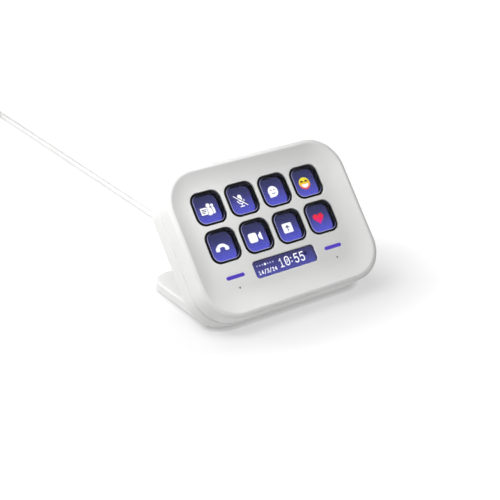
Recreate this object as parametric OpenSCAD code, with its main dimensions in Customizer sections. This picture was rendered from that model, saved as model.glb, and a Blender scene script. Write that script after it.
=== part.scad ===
// Eight-key display keypad on a fixed, V-shaped desk stand, with its lead.
// Millimetres, +Z up, +X to the right along the face, +Y away from the user.
// Origin: centre of the foot pad's underside, on the desk.
// Modules drawn inside in_head() use the face's own frame: x to the right, y up along
// the face and z out of it, from the middle of the key grid on the flat key plane.

/* [Head] */
// Distance from the outer keys' openings to the head's sides
side_margin = 14.55; // [13:0.05:20]
// Distance from the upper keys' openings to the head's top
top_margin = 12.3; // [11:0.1:18]
// Distance from the information window's middle to the head's bottom
chin = 20.8; // [19:0.1:26]
// Corner radius of the head's outline
head_corner_r = 18.5; // [14:0.5:22]
// Lean of the face above the desk, in degrees
face_tilt = 50; // [44:1:56]
// Height of the rim in front of the key plane
rim_rise = 4.3; // [3:0.1:6]
// Width of the rim's crest before the dish falls away
rim_w = 1.2; // [0.8:0.1:2]
// Radius that rounds the rim's outer edge
rim_edge_r = 1; // [0.4:0.1:1.1]
// Length over which the dish rises to the rim
dish_run = 14; // [10:0.5:18]
// Depth of the front frame behind the key plane
frame_depth = 6.4; // [5.6:0.1:7]
// Depth of the whole head behind the key plane
head_depth = 18.6; // [18:0.1:22]
// Radius of the rear housing's back edge
back_edge_r = 4.5; // [3:0.1:6]
// Thickness of the front frame's face
face_wall = 1.6; // [1.2:0.1:1.8]
// Thickness of the side and back walls
shell_wall = 2; // [1.6:0.1:2.4]
// Depth behind the key plane at which the bottom wall meets the underside
keel_depth = 12.5; // [11:0.1:14]
// Thickness of the rear housing's narrow floor
keel_wall = 1.5; // [1:0.1:1.6]
// Height and depth of the fine groove at the parting line
parting_groove = 0.3; // [0.1:0.05:0.5]
// Height of the tongue that centres the front frame
tongue_h = 1.2; // [0.6:0.1:2]
// Thickness of that tongue
tongue_t = 0.9; // [0.6:0.1:1.2]

/* [Keys] */
// Pitch of the keys, both ways
key_pitch = 20; // [19.4:0.1:20.4]
// Width of a key opening
key_open_w = 17.9; // [16.5:0.1:18.2]
// Height of a key opening
key_open_h = 17.6; // [16.5:0.1:18.2]
// Corner radius of a key opening
key_open_r = 5; // [3.5:0.1:6]
// Gap between a key and its opening
key_gap = 0.3; // [0.2:0.05:0.4]
// Distance of a key's face behind the key plane
key_recess = 0.2; // [0:0.05:0.5]
// Thickness of the clear cap's top plate
cap_plate_t = 1.1; // [0.8:0.1:1.3]
// Height of the cap's bevel
cap_bevel = 0.4; // [0.2:0.05:0.6]
// Width of the black frame around a key's window
window_border = 0.9; // [0.7:0.1:1.4]
// Radial gap between a cap's plug and its frame
cap_fit = 0.05; // [0.02:0.01:0.1]
// Overhang of the key frame's flange beyond the key
flange_overhang = 0.8; // [0.6:0.05:0.9]
// Thickness of that flange
flange_t = 0.6; // [0.4:0.05:0.7]
// Gap between the flange and the front frame at rest
flange_gap = 0.1; // [0.05:0.05:0.3]
// Travel of a key
key_travel = 0.9; // [0.5:0.1:1]
// Wall of the silicone collar that springs a key
collar_wall = 0.8; // [0.6:0.1:0.9]
// Gap between a collar and its key frame at rest
collar_gap = 0.05; // [0.02:0.01:0.1]

/* [Display] */
// Room left behind a key that is fully pressed
press_room = 0.4; // [0.2:0.05:0.7]
// Thickness of the display panel
lcd_t = 2.4; // [2:0.1:2.6]
// Margin of the panel beyond the outer windows, left and right
lcd_side_margin = 2.6; // [2:0.1:3]
// Margin of the panel above the upper windows
lcd_top_margin = 2.5; // [2:0.1:3]
// Margin of the panel below the lower windows, with its driver
lcd_foot_margin = 4.1; // [3.6:0.1:4.4]
// Thickness of the contact sheet on the glass
sheet_t = 0.2; // [0.1:0.05:0.3]
// Thickness of the carrier tray's plate
tray_t = 1; // [0.8:0.1:1.1]
// Thickness of the tray's rim
tray_rim = 0.6; // [0.4:0.1:0.7]
// Gap around the panel in its tray
tray_gap = 0.1; // [0.05:0.05:0.2]
// Width of the information window
info_w = 37.5; // [34:0.5:40]
// Height of the information window
info_h = 9.1; // [8:0.1:9.6]
// Corner radius of the information window
info_r = 1.8; // [1:0.1:3]
// Distance of the information window's middle below the lower keys' openings
info_gap = 7.7; // [7:0.1:10]
// Gap around the lens in its window
lens_gap = 0.1; // [0.05:0.05:0.2]
// Distance of the lens behind the key plane
lens_recess = 0.15; // [0.05:0.05:0.4]
// Border of the information panel beyond its window, left and right
info_border_w = 2.8; // [2:0.1:3.4]
// Border of the information panel above and below its window
info_border_h = 1.6; // [1:0.1:1.8]
// Thickness of the information panel
info_t = 1.4; // [1:0.1:1.5]
// Thickness of the ribbon leads
flex_t = 0.3; // [0.2:0.05:0.4]

/* [Touch strips] */
// Length of a strip
touch_l = 10.6; // [8:0.1:11]
// Height of a strip
touch_h = 1.9; // [1.4:0.1:2.4]
// Gap between a light bar and its slot
touch_gap = 0.05; // [0.02:0.01:0.1]
// Thickness of the bar's base
touch_base_t = 0.6; // [0.4:0.1:0.7]
// Length of the bar's base
touch_base_l = 12; // [11.6:0.1:12]
// Height of the bar's base
touch_base_h = 4.2; // [3.2:0.1:5]
// Thickness of a touch board
touch_board_t = 0.8; // [0.6:0.1:1]
// Height of a touch board
touch_board_h = 7; // [5.6:0.1:8]
// Distance of each dimple below its touch strip
dimple_gap = 5.9; // [4.5:0.1:7]
// Radius of a dimple
dimple_r = 0.5; // [0.3:0.05:0.8]
// Depth of a dimple
dimple_depth = 0.4; // [0.2:0.05:0.8]

/* [Main board] */
// Depth of the board's front behind the key plane
board_depth = 9.5; // [9.4:0.1:10]
// Thickness of the board
board_t = 1.6; // [1:0.1:1.6]
// Distance of the board's ends from the head's sides
board_side_margin = 15.5; // [14:0.1:24]
// Distance of the board's top edge from the head's top
board_top_margin = 6.1; // [5:0.1:9]
// Height of the board
board_h = 34; // [30:0.5:35]
// Distance of the board's screws from its edges
board_screw_inset = 4; // [3.4:0.1:5]
// Height of the flat parts on the board
chip_h = 1.2; // [0.8:0.1:1.2]
// Side of the processor, the largest part
processor_w = 12; // [8:0.5:14]
// Height of the lead's header
header_h = 3.4; // [2.8:0.1:3.6]

/* [Foot] */
// Distance of the foot's sides inside the head's sides
foot_side_margin = 7.5; // [6:0.1:14]
// Length of the foot behind the head, along the desk
foot_len = 53.3; // [48:0.1:66]
// Thickness of the foot above its underside
foot_t = 4.8; // [4.6:0.1:5.4]
// Radius of the foot's rear corners
foot_corner_r = 10; // [6:0.5:14]
// Radius that rounds the foot's top edge
foot_edge_r = 1.2; // [0.5:0.1:1.5]
// Thickness of the foot's outer wall
foot_wall = 1.8; // [1.4:0.1:2.4]
// Width of the ledge that the base plate bears on
foot_ledge = 1.4; // [1:0.1:2]
// Thickness of the foot's top
foot_top = 1.3; // [1:0.1:1.4]
// Thickness of the base plate
base_t = 1.4; // [1.2:0.1:1.5]
// Gap around the base plate
base_gap = 0.15; // [0.1:0.05:0.3]
// Thickness of the non-slip pad
pad_t = 0.8; // [0.5:0.1:1.5]
// Distance of the pad from the foot's edges
pad_inset = 1.6; // [1:0.1:4]
// Distance of the pad behind the foot's front edge
pad_setback = 11.3; // [6:0.1:14]
// Distance of the steel bracket's sides inside the foot's sides
bracket_margin = 16; // [13:0.5:24]
// Thickness of the bracket
bracket_t = 1.6; // [1.2:0.1:1.7]
// Distance of the bracket's ears inside the foot's sides
ear_margin = 8; // [6:0.5:12]
// Gap between the bracket and what it passes through
bracket_gap = 0.2; // [0.1:0.05:0.25]
// Height of the bosses that carry the bracket on the back wall
bracket_boss_h = 2; // [1.6:0.1:2.4]
// Distance of the bracket's top edge below the lead's exit
bracket_drop = 7; // [6.5:0.1:8]
// Distance of the upper bracket screws below that edge
bracket_screw_first = 4; // [3.5:0.1:5]
// Distance between the bracket's two rows of screws
bracket_screw_pitch = 9; // [6:0.5:10]
// Distance of the bracket's screws from its sides
bracket_screw_inset = 8; // [5:0.5:12]
// Distance of the base plate's screws from the bracket's sides
base_screw_inset = 2; // [1.6:0.1:3]
// Distance of the front base screws behind the pad's front edge
base_screw_front = 6; // [5:0.5:9]
// Distance of the rear base screws before the pad's rear edge
base_screw_rear = 8; // [7:0.5:12]

/* [Screws] */
// Distance of the housing screws from the head's sides and top
screw_inset = 9; // [8.6:0.1:9.4]
// Distance of the lower housing screws above the head's bottom
screw_rise = 17.3; // [15:0.1:20]
// Shank radius of the housing screws
housing_shank_r = 1.15; // [1:0.05:1.3]
// Shank radius of the small screws
small_shank_r = 0.9; // [0.7:0.05:1]
// Radial gap of a screw in its thread
thread_gap = 0.05; // [0.03:0.01:0.1]
// Radial gap of a screw in a clearance hole
hole_gap = 0.25; // [0.15:0.05:0.35]

/* [Lead] */
// Diameter of the lead
cord_d = 3.4; // [3:0.1:3.6]
// Distance of the lead's exit below the board's bottom edge
gland_gap = 4; // [3.5:0.1:4.5]
// Length of the strain relief outside the housing
gland_l = 12; // [8:0.5:13]
// Root radius of the strain relief
gland_root_r = 2.9; // [2.6:0.1:3.4]
// Tip radius of the strain relief
gland_tip_r = 2.2; // [1.9:0.1:2.5]
// Radius of the coil's outermost turn
coil_r = 27.2; // [25:0.1:30]
// Turns of the coil side by side
coil_columns = 5; // [4:1:5]
// Layers of the coil
coil_layers = 2; // [2:1:3]
// Width of the plug's body
plug_w = 12; // [11:0.1:14]
// Length of the plug's body
plug_l = 22; // [16:0.5:28]
// Thickness of the plug's body
plug_t = 6.6; // [5.6:0.1:7]
// Width of the plug's shell
shell_w = 8.3; // [8.2:0.05:8.4]
// Thickness of the plug's shell
shell_t = 2.5; // [2.4:0.05:2.6]
// Length of the plug's shell
shell_l = 6.6; // [6.2:0.1:7]

/* [Hidden] */
$fn = 48;
eps = 0.01;
dish_steps = 9;

// Face: the head's outline follows the keys and the window
info_drop = key_pitch / 2 + key_open_h / 2 + info_gap;
face_top = key_pitch / 2 + key_open_h / 2 + top_margin;
face_foot = -(info_drop + chin);
head_w = 3 * key_pitch + key_open_w + 2 * side_margin;
head_h = face_top - face_foot;
grid_rise = -(face_top + face_foot) / 2;
touch_x = 1.5 * key_pitch;
dimple_drop = info_drop + dimple_gap;

// Where the head stands: its bottom wall meets the underside at the keel
underside_z = pad_t;
grid_z = underside_z - face_foot * sin(face_tilt) + keel_depth * cos(face_tilt);

// Foot: its front edge is where the back of the head meets the underside
foot_front = back_at(underside_z);
foot_rear = foot_front + foot_len;
pad_front = foot_front + pad_setback;
pad_rear = foot_rear - pad_inset;
grid_y = -(pad_front + pad_rear) / 2;
foot_z = underside_z + foot_t;
foot_w = head_w - 2 * foot_side_margin;
bracket_w = foot_w - 2 * bracket_margin;
bracket_foot_w = foot_w - 2 * ear_margin;

// Keys
key_w = key_open_w - 2 * key_gap;
key_h = key_open_h - 2 * key_gap;
key_r = key_open_r - key_gap;
window_w = key_w - 2 * window_border;
window_h = key_h - 2 * window_border;
window_r = key_r - window_border;
cap_under = key_recess + cap_plate_t;
flange_front = face_wall + flange_gap;
flange_back = flange_front + flange_t;
sheet_front = flange_back + key_travel + press_room;
lcd_depth = sheet_front + sheet_t;

// Display
lcd_w = 3 * key_pitch + window_w + 2 * lcd_side_margin;
lcd_top = key_pitch / 2 + window_h / 2 + lcd_top_margin;
lcd_foot = -(key_pitch / 2 + window_h / 2 + lcd_foot_margin);
lcd_h = lcd_top - lcd_foot;
lcd_y = (lcd_top + lcd_foot) / 2;
lcd_back = lcd_depth + lcd_t;
tray_w = lcd_w + 2 * (tray_gap + tray_rim);
tray_top = lcd_top + tray_gap + tray_rim;
tray_foot = lcd_foot - tray_gap - tray_rim;
tray_front = lcd_back + eps;
tray_back = tray_front + tray_t;
pillar_r = 2.2;
pillar_gap = 3.3;
pillar_top_x = 1.5 * key_pitch;
pillar_foot_x = tray_w / 2 - 2.4;
pillar_places = [
    for (sx = [-1, 1], top = [true, false])
        [sx * (top ? pillar_top_x : pillar_foot_x), top ? tray_top + pillar_gap : tray_foot - pillar_gap]
];
tab_w = 6;
tab_reach = 2.6;
info_depth = face_wall + 0.1;
flex_depth = board_depth - chip_h - flex_t / 2;
lcd_flex_x = -8;
lcd_flex_w = 20;
lcd_flex_exit = lcd_depth + lcd_t / 2;
info_flex_w = 8;
info_flex_x = info_w / 2 + info_border_w - info_flex_w / 2 - 1.55;
board_top = face_top - board_top_margin;
board_foot = board_h - board_top;
board_w = head_w - 2 * board_side_margin;
connector_y = -board_foot + 3;
connector_h = 4;
connector_margin = 1;

// Touch strips
touch_base_depth = face_wall + 0.05;
touch_board_depth = touch_base_depth + touch_base_t + 0.05;

// Main board
board_back = board_depth + board_t;
board_y = (board_top - board_foot) / 2;
// Parts on the board's back: place in shares of the board's size, then width and height
back_chips = [
    [-0.12, 0.06, processor_w, processor_w], [0.13, 0.15, 0.75 * processor_w, 0.6 * processor_w],
    [0.3, 0.03, 0.5 * processor_w, 0.4 * processor_w], [-0.32, -0.12, 0.4 * processor_w, 0.35 * processor_w]
];
gland_drop = board_foot + gland_gap;
board_screw_places = [
    for (sx = [-1, 1], sy = [-1, 1])
        [sx * (board_w / 2 - board_screw_inset), board_y + sy * (board_h / 2 - board_screw_inset)]
];
header_w = 10;
header_d = 5;
header_gap = 0.5;
gland_flange_t = 1.2;
back_inner = head_depth - shell_wall;
tail_r = 1.1;
tail_depth = board_back + tail_r + 0.1;
tail_end = back_inner - gland_flange_t;
tail_bend_r = min(1.8, 0.95 * (tail_end - tail_depth));

// Screws
housing_screw_places = [
    for (sx = [-1, 1], y = [face_top - screw_inset, face_foot + screw_rise])
        [sx * (head_w / 2 - screw_inset), y]
];
tube_r = 3.1;
housing_head_r = 2.3;
housing_head_h = 1.7;
housing_seat = head_depth - 4;
housing_thread_end = 2.5;
small_head_r = 1.8;
small_head_h = 1.1;
boss_r = 2.4;
base_screw_places = [
    for (sx = [-1, 1], y = [pad_front + base_screw_front, pad_rear - base_screw_rear])
        [sx * (bracket_w / 2 - base_screw_inset), grid_y + y]
];
base_head_r = 2;
base_head_h = 1;

// Bracket
bracket_top = gland_drop + bracket_drop;
bracket_back = back_inner - bracket_boss_h;
bracket_front = bracket_back - bracket_t;
bracket_z = underside_z + keel_wall + bracket_gap;
bracket_bend_y = desk_y(face_y_at(bracket_z, bracket_front), bracket_front);
bracket_bend_cut = 1.2;
bracket_boss_places = [
    for (sx = [-1, 1], y = [bracket_screw_first, bracket_screw_first + bracket_screw_pitch])
        [sx * (bracket_w / 2 - bracket_screw_inset), -(bracket_top + y)]
];

// Lead: it leaves the strain relief's tip, lies on the foot, drops off its rear edge
// and runs along the desk to the coil
cord_r = cord_d / 2;
tip_y = grid_y + desk_y(-gland_drop, head_depth + gland_l);
tip_z = grid_z - gland_drop * sin(face_tilt) - (head_depth + gland_l) * cos(face_tilt);
on_foot_z = foot_z + cord_r;
rear_y = grid_y + foot_rear;
cord_route = concat(
    [
        [0, tip_y, tip_z], [0, tip_y + 2.5, tip_z - 2.1],
        [0, tip_y + 5.4, max(tip_z - 4.5, on_foot_z + 1.2)]
    ],
    [
        [0, tip_y + 8.5, on_foot_z + 1.6], [0, tip_y + 12, on_foot_z + 0.4],
        [0, rear_y - 9, on_foot_z + 0.1], [0, rear_y - 5, on_foot_z + 0.1],
        [0, rear_y - 1, on_foot_z + 0.1], [0, rear_y + 2, on_foot_z - 0.3],
        [0, rear_y + 6, 5.8], [0, rear_y + 10, 4.2], [0, rear_y + 14, 2.8], [0, rear_y + 18, 2]
    ],
    [for (y = [46, 55, 70, 90, 110, 130, 150, 170, 190, 210, 230, 250, 270, 290, 310, 330]) [0, y, cord_r]]
);
coil_y = 332;
plug_x = -2 * coil_r;
plug_reach = 22;
plug_rear = coil_y - plug_reach;
plug_z = plug_t / 2;
upper_z = (2 * coil_layers - 1) * cord_r;
end_route = [
    for (step = [[0, 1], [0.27, 0.9], [0.55, 0.5], [0.77, 0.1], [1, 0]])
        [plug_x, coil_y - step[0] * plug_reach, plug_z + step[1] * (upper_z - plug_z)]
];
relief_l = 5;
relief_r = 2.9;
shell_r = 1.2;

// ---------- places and outlines ----------

// Desk distance of a point of the face frame, from below the key grid's centre
function desk_y(y, depth) = y * cos(face_tilt) + depth * sin(face_tilt);

// Place along the face at which a plane of that depth is z above the desk
function face_y_at(z, depth) = (z - grid_z + depth * cos(face_tilt)) / sin(face_tilt);

// Desk distance of the head's back at height z above the desk
function back_at(z) = desk_y(face_y_at(z, head_depth), head_depth);

// Distance of a place on the face from the head's outline
function edge_distance(p) =
    let (
        dx = abs(p[0]) - (head_w / 2 - head_corner_r),
        dy = abs(p[1] + grid_rise) - (head_h / 2 - head_corner_r)
    )
    head_corner_r - (dx > 0 && dy > 0 ? norm([dx, dy]) : max(dx, dy));

// Height of the dish in front of the key plane, at a distance from the outline
function dish_rise(d) = rim_rise * pow(max(0, min(1, (rim_w + dish_run - d) / dish_run)), 2);

// Depth of a boss's root, half way into the face above it
function boss_root(p) = face_wall / 2 - dish_rise(edge_distance(p));

function key_place(i) =
    [((i - 1) % 4 - 1.5) * key_pitch, (0.5 - floor((i - 1) / 4)) * key_pitch];

module in_head() {
    translate([0, grid_y, grid_z])
        rotate([face_tilt, 0, 0])
            children();
}

module rounded_rect(w, h, r) {
    square([w - 2 * r, h], center = true);
    square([w, h - 2 * r], center = true);
    for (sx = [-1, 1], sy = [-1, 1])
        translate([sx * (w / 2 - r), sy * (h / 2 - r)])
            circle(r);
}

// A plate between two depths behind the key plane
module plate(from_depth, to_depth) {
    translate([0, 0, -to_depth])
        linear_extrude(to_depth - from_depth)
            children();
}

// A rounded block from one height to another. Its edge's section is drawn by the
// child, from the corner's own axis outwards to the corner radius.
module edged_block(w, h, r, from_z, to_z) {
    for (sx = [-1, 1], sy = [-1, 1])
        translate([sx * (w / 2 - r), sy * (h / 2 - r), 0])
            rotate_extrude()
                children();
    for (k = [0, 1])
        rotate([0, 0, 90 * k])
            rotate([90, 0, 0])
                linear_extrude((k == 0 ? h : w) - 2 * r, center = true) {
                    half = (k == 0 ? w : h) / 2 - r;
                    translate([half, 0])
                        children();
                    mirror([1, 0])
                        translate([half, 0])
                            children();
                    translate([-half - eps, from_z])
                        square([2 * (half + eps), to_z - from_z]);
                }
}

// Everything lower than a height above the desk
module below(z) {
    big = 4 * head_w;
    translate([-big / 2, -big / 2, z - big])
        cube(big);
}

// Screw with its head's seat at the origin, shank along +Z
module screw(shank_r, shank_l, head_r, head_h) {
    socket_r = 0.5 * head_r;
    difference() {
        union() {
            translate([0, 0, -eps])
                cylinder(h = shank_l + eps, r = shank_r);
            translate([0, 0, -head_h])
                cylinder(h = head_h, r = head_r);
        }
        translate([0, 0, -head_h - eps])
            cylinder(h = 0.6 * head_h, r = socket_r, $fn = 6);
    }
}

// ---------- head ----------

module frame_block() {
    translate([0, -grid_rise, 0])
        edged_block(head_w, head_h, head_corner_r, -frame_depth, rim_rise) {
            union() {
                translate([0, -frame_depth])
                    square([head_corner_r, frame_depth + rim_rise - rim_edge_r]);
                translate([0, -frame_depth])
                    square([head_corner_r - rim_edge_r, frame_depth + rim_rise]);
                translate([head_corner_r - rim_edge_r, rim_rise - rim_edge_r])
                    circle(rim_edge_r);
            }
        }
}

// The room in front of the dish
module dish_room() {
    r = head_corner_r - rim_w;
    top = rim_rise + 1;
    translate([0, -grid_rise, 0])
        edged_block(head_w - 2 * rim_w, head_h - 2 * rim_w, r, 0, top)
            polygon(concat(
                [[0, top], [0, 0]],
                [
                    for (k = [dish_steps:-1:0])
                        let (run = dish_run * k / dish_steps)
                        [r - run, dish_rise(rim_w + run)]
                ],
                [[r, top]]
            ));
}

module front_frame() {
    inner_r = head_corner_r - shell_wall;
    color("#f1f1ef")
        in_head()
            difference() {
                union() {
                    difference() {
                        frame_block();
                        difference() {
                            translate([0, -grid_rise, 0])
                                plate(-(rim_rise - shell_wall), frame_depth + 1)
                                    rounded_rect(head_w - 2 * shell_wall, head_h - 2 * shell_wall, inner_r);
                            translate([0, 0, -face_wall])
                                dish_room();
                        }
                    }
                    for (p = housing_screw_places)
                        translate(p)
                            plate(boss_root(p), frame_depth)
                                circle(tube_r);
                    for (p = pillar_places)
                        translate(p)
                            plate(boss_root(p), tray_front)
                                circle(pillar_r);
                }
                dish_room();
                for (i = [1:8])
                    translate(key_place(i))
                        plate(-1, face_wall + 1)
                            rounded_rect(key_open_w, key_open_h, key_open_r);
                translate([0, -info_drop])
                    plate(-1, face_wall + 1)
                        rounded_rect(info_w, info_h, info_r);
                for (sx = [-1, 1]) {
                    translate([sx * touch_x, -info_drop])
                        plate(-1, face_wall + 1)
                            rounded_rect(touch_l, touch_h, touch_h / 2 - eps);
                    translate([sx * touch_x, -dimple_drop])
                        plate(-1, dimple_depth)
                            circle(dimple_r, $fn = 24);
                }
                for (p = housing_screw_places)
                    translate(p)
                        plate(housing_thread_end - 0.2, frame_depth + 1)
                            circle(housing_shank_r + thread_gap);
                for (p = pillar_places)
                    translate(p)
                        plate(boss_root(p) + 1, tray_front + 1)
                            circle(small_shank_r + thread_gap);
            }
}

module housing_block() {
    straight = head_depth - back_edge_r;
    translate([0, -grid_rise, 0])
        edged_block(head_w, head_h, head_corner_r, -head_depth, -frame_depth - parting_groove) {
            union() {
                translate([0, -straight])
                    square([head_corner_r, straight - frame_depth - parting_groove]);
                translate([0, -head_depth])
                    square([head_corner_r - back_edge_r, head_depth - frame_depth - parting_groove]);
                translate([head_corner_r - back_edge_r, -straight])
                    circle(back_edge_r);
            }
        }
    translate([0, -grid_rise])
        plate(frame_depth + eps, frame_depth + parting_groove + eps)
            rounded_rect(
                head_w - 2 * parting_groove, head_h - 2 * parting_groove,
                head_corner_r - parting_groove
            );
}

module housing_room() {
    straight = head_depth - back_edge_r;
    corner_r = head_corner_r - shell_wall;
    inner_r = back_edge_r - shell_wall;
    top = tongue_h + 1 - frame_depth;
    translate([0, -grid_rise, 0])
        edged_block(head_w - 2 * shell_wall, head_h - 2 * shell_wall, corner_r, -back_inner, top) {
            union() {
                translate([0, -straight])
                    square([corner_r, straight + top]);
                translate([0, -back_inner])
                    square([corner_r - inner_r, back_inner + top]);
                translate([corner_r - inner_r, -straight])
                    circle(inner_r);
            }
        }
}

module bracket_passage() {
    w = bracket_w + 2 * bracket_gap;
    h = bracket_t + 2 * bracket_gap;
    from_y = bracket_bend_y - bracket_gap;
    to_y = back_at(foot_z) + foot_wall + foot_ledge;
    translate([-w / 2, grid_y + from_y, bracket_z - bracket_gap])
        cube([w, to_y - from_y, h]);
}

// The tongue runs round inside the wall and stops at the front frame's screw tubes
module tongue_outline(inset) {
    inner = shell_wall + thread_gap + tongue_t;
    difference() {
        translate([0, -grid_rise])
            difference() {
                rounded_rect(head_w - 2 * inset, head_h - 2 * inset, head_corner_r - inset);
                rounded_rect(head_w - 2 * inner, head_h - 2 * inner, head_corner_r - inner);
            }
        for (p = housing_screw_places)
            translate(p)
                circle(tube_r + thread_gap);
    }
}

module rear_housing() {
    color("#efefed")
        difference() {
            union() {
                difference() {
                    in_head()
                        housing_block();
                    below(underside_z);
                    difference() {
                        in_head()
                            housing_room();
                        below(underside_z + keel_wall);
                    }
                }
                in_head() {
                    plate(frame_depth - tongue_h, frame_depth + parting_groove)
                        tongue_outline(shell_wall + thread_gap);
                    plate(frame_depth + parting_groove - eps, frame_depth + shell_wall)
                        tongue_outline(shell_wall / 2);
                    for (p = housing_screw_places)
                        translate(p)
                            plate(frame_depth + eps, head_depth - shell_wall / 2)
                                circle(tube_r);
                    for (p = board_screw_places)
                        translate(p)
                            plate(board_back, head_depth - shell_wall / 2)
                                circle(boss_r);
                    for (p = bracket_boss_places)
                        translate(p)
                            plate(bracket_back, head_depth - shell_wall / 2)
                                circle(boss_r);
                }
            }
            in_head() {
                for (p = housing_screw_places)
                    translate(p) {
                        plate(frame_depth - tongue_h - 1, head_depth + 1)
                            circle(housing_shank_r + hole_gap);
                        plate(housing_seat, head_depth + 1)
                            circle(housing_head_r + hole_gap);
                    }
                for (p = board_screw_places)
                    translate(p)
                        plate(board_back - 1, board_back + 4)
                            circle(small_shank_r + thread_gap);
                for (p = bracket_boss_places)
                    translate(p)
                        plate(bracket_back - 1, head_depth - 1)
                            circle(small_shank_r + thread_gap);
                translate([0, -gland_drop])
                    plate(back_inner - 1, head_depth + 1)
                        circle(gland_root_r + thread_gap);
            }
            bracket_passage();
        }
}

module housing_screws() {
    color("#8c8f94")
        in_head()
            for (p = housing_screw_places)
                translate([p[0], p[1], -housing_seat])
                    screw(
                        housing_shank_r, housing_seat - housing_thread_end,
                        housing_head_r, housing_head_h
                    );
}

// ---------- stand ----------

module foot_outline(inset, front) {
    w = foot_w - 2 * inset;
    r = foot_corner_r - inset;
    rear = foot_rear - inset;
    translate([-w / 2, grid_y + front])
        square([w, rear - r - front]);
    translate([0, grid_y + rear - 2 * r])
        rounded_rect(w, 4 * r, r);
}

// The foot's outside, running on under the head
module foot_block() {
    run_on = 2 * foot_corner_r;
    length = foot_len + run_on;
    difference() {
        translate([0, grid_y + foot_rear - length / 2, 0])
            edged_block(foot_w, length, foot_corner_r, underside_z, foot_z) {
                union() {
                    translate([0, underside_z])
                        square([foot_corner_r, foot_t - foot_edge_r]);
                    translate([0, underside_z])
                        square([foot_corner_r - foot_edge_r, foot_t]);
                    translate([foot_corner_r - foot_edge_r, foot_z - foot_edge_r])
                        circle(foot_edge_r);
                }
            }
        translate([-foot_w, grid_y + foot_front - shell_wall - 2 * run_on, 0])
            cube([2 * foot_w, 2 * run_on, 3 * foot_t]);
    }
}

module stand_foot() {
    ledge_z = underside_z + base_t;
    room_front = back_at(foot_z) + foot_wall;
    color("#efefed")
        difference() {
            foot_block();
            in_head()
                housing_block();
            translate([0, 0, underside_z - 1])
                linear_extrude(base_t + 1)
                    foot_outline(foot_wall, room_front);
            translate([0, 0, ledge_z - eps])
                linear_extrude(foot_t - base_t - foot_top + eps)
                    foot_outline(foot_wall + foot_ledge, room_front + foot_ledge);
            bracket_passage();
        }
}

// The bent sheet's section, in the part's Y and Z: one leg up the head's back wall,
// the other one along the desk
module bracket_section(rear) {
    top_z = bracket_z + bracket_t;
    heel_y = desk_y(face_y_at(top_z, bracket_back), bracket_back);
    polygon([
        leg_place(bracket_front), leg_place(bracket_back),
        [grid_y + heel_y, top_z], [grid_y + rear, top_z], [grid_y + rear, bracket_z],
        [grid_y + bracket_bend_y + bracket_bend_cut, bracket_z],
        [
            grid_y + bracket_bend_y + bracket_bend_cut * cos(face_tilt),
            bracket_z + bracket_bend_cut * sin(face_tilt)
        ]
    ]);
}

// Place of the upright leg's top edge, at a depth behind the key plane
function leg_place(depth) = [
    grid_y + desk_y(-bracket_top, depth),
    grid_z - bracket_top * sin(face_tilt) - depth * cos(face_tilt)
];

module stand_bracket() {
    foot_leg_front = back_at(foot_z) + foot_wall + foot_ledge + bracket_gap;
    foot_leg_rear = foot_rear - foot_wall - foot_ledge - bracket_gap;
    ear_w = (bracket_foot_w - bracket_w) / 2;
    color("#a9adb3")
        difference() {
            union() {
                rotate([90, 0, 90])
                    linear_extrude(bracket_w, center = true)
                        bracket_section(foot_leg_rear);
                for (sx = [-1, 1])
                    translate([
                        sx * (bracket_w / 2 + ear_w / 2) - ear_w / 2 - (sx > 0 ? eps : 0),
                        grid_y + foot_leg_front, bracket_z
                    ])
                        cube([ear_w + eps, foot_leg_rear - foot_leg_front - foot_corner_r / 2, bracket_t]);
            }
            in_head()
                for (p = bracket_boss_places)
                    translate(p)
                        plate(bracket_front - 1, bracket_back + 1)
                            circle(small_shank_r + hole_gap);
            for (p = base_screw_places)
                translate([p[0], p[1], bracket_z - 1])
                    cylinder(h = bracket_t + 2, r = small_shank_r + thread_gap);
        }
}

module bracket_screws() {
    color("#8c8f94")
        in_head()
            for (p = bracket_boss_places)
                translate([p[0], p[1], -bracket_front])
                    mirror([0, 0, 1])
                        screw(small_shank_r, bracket_t + 2.6, small_head_r, small_head_h);
}

module foot_base_plate() {
    room_front = back_at(foot_z) + foot_wall;
    color("#d9d9d7")
        difference() {
            translate([0, 0, underside_z])
                linear_extrude(base_t - eps)
                    foot_outline(foot_wall + base_gap, room_front + base_gap);
            for (p = base_screw_places)
                translate([p[0], p[1], underside_z - 1]) {
                    cylinder(h = base_t + 2, r = small_shank_r + hole_gap);
                    cylinder(h = 1.1 + base_head_h, r = base_head_r + hole_gap);
                }
        }
}

module base_screws() {
    head_seat = underside_z + 0.1 + base_head_h;
    color("#8c8f94")
        for (p = base_screw_places)
            translate([p[0], p[1], head_seat])
                screw(small_shank_r, bracket_z + bracket_t - head_seat, base_head_r, base_head_h);
}

module foot_pad() {
    color("#3a3b3e")
        linear_extrude(pad_t)
            foot_outline(pad_inset, pad_front);
}

// ---------- keys ----------

module key_cap(i) {
    bevel_r = key_r - cap_bevel;
    color("#c9d2e6", 0.35)
        in_head()
            translate(key_place(i)) {
                edged_block(key_w, key_h, key_r, -cap_under, -key_recess)
                    polygon([
                        [0, -cap_under], [key_r, -cap_under],
                        [key_r, -key_recess - cap_bevel], [bevel_r, -key_recess], [0, -key_recess]
                    ]);
                plate(cap_under - eps, flange_back - 0.1)
                    rounded_rect(
                        window_w - 2 * cap_fit, window_h - 2 * cap_fit, window_r - cap_fit
                    );
            }
}

module key_frame(i) {
    color("#17171a")
        in_head()
            translate(key_place(i))
                difference() {
                    union() {
                        plate(cap_under, flange_back)
                            rounded_rect(key_w, key_h, key_r);
                        plate(flange_front, flange_back)
                            rounded_rect(
                                key_w + 2 * flange_overhang, key_h + 2 * flange_overhang,
                                key_r + flange_overhang
                            );
                    }
                    plate(cap_under - 1, flange_back + 1)
                        rounded_rect(window_w, window_h, window_r);
                }
}

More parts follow.
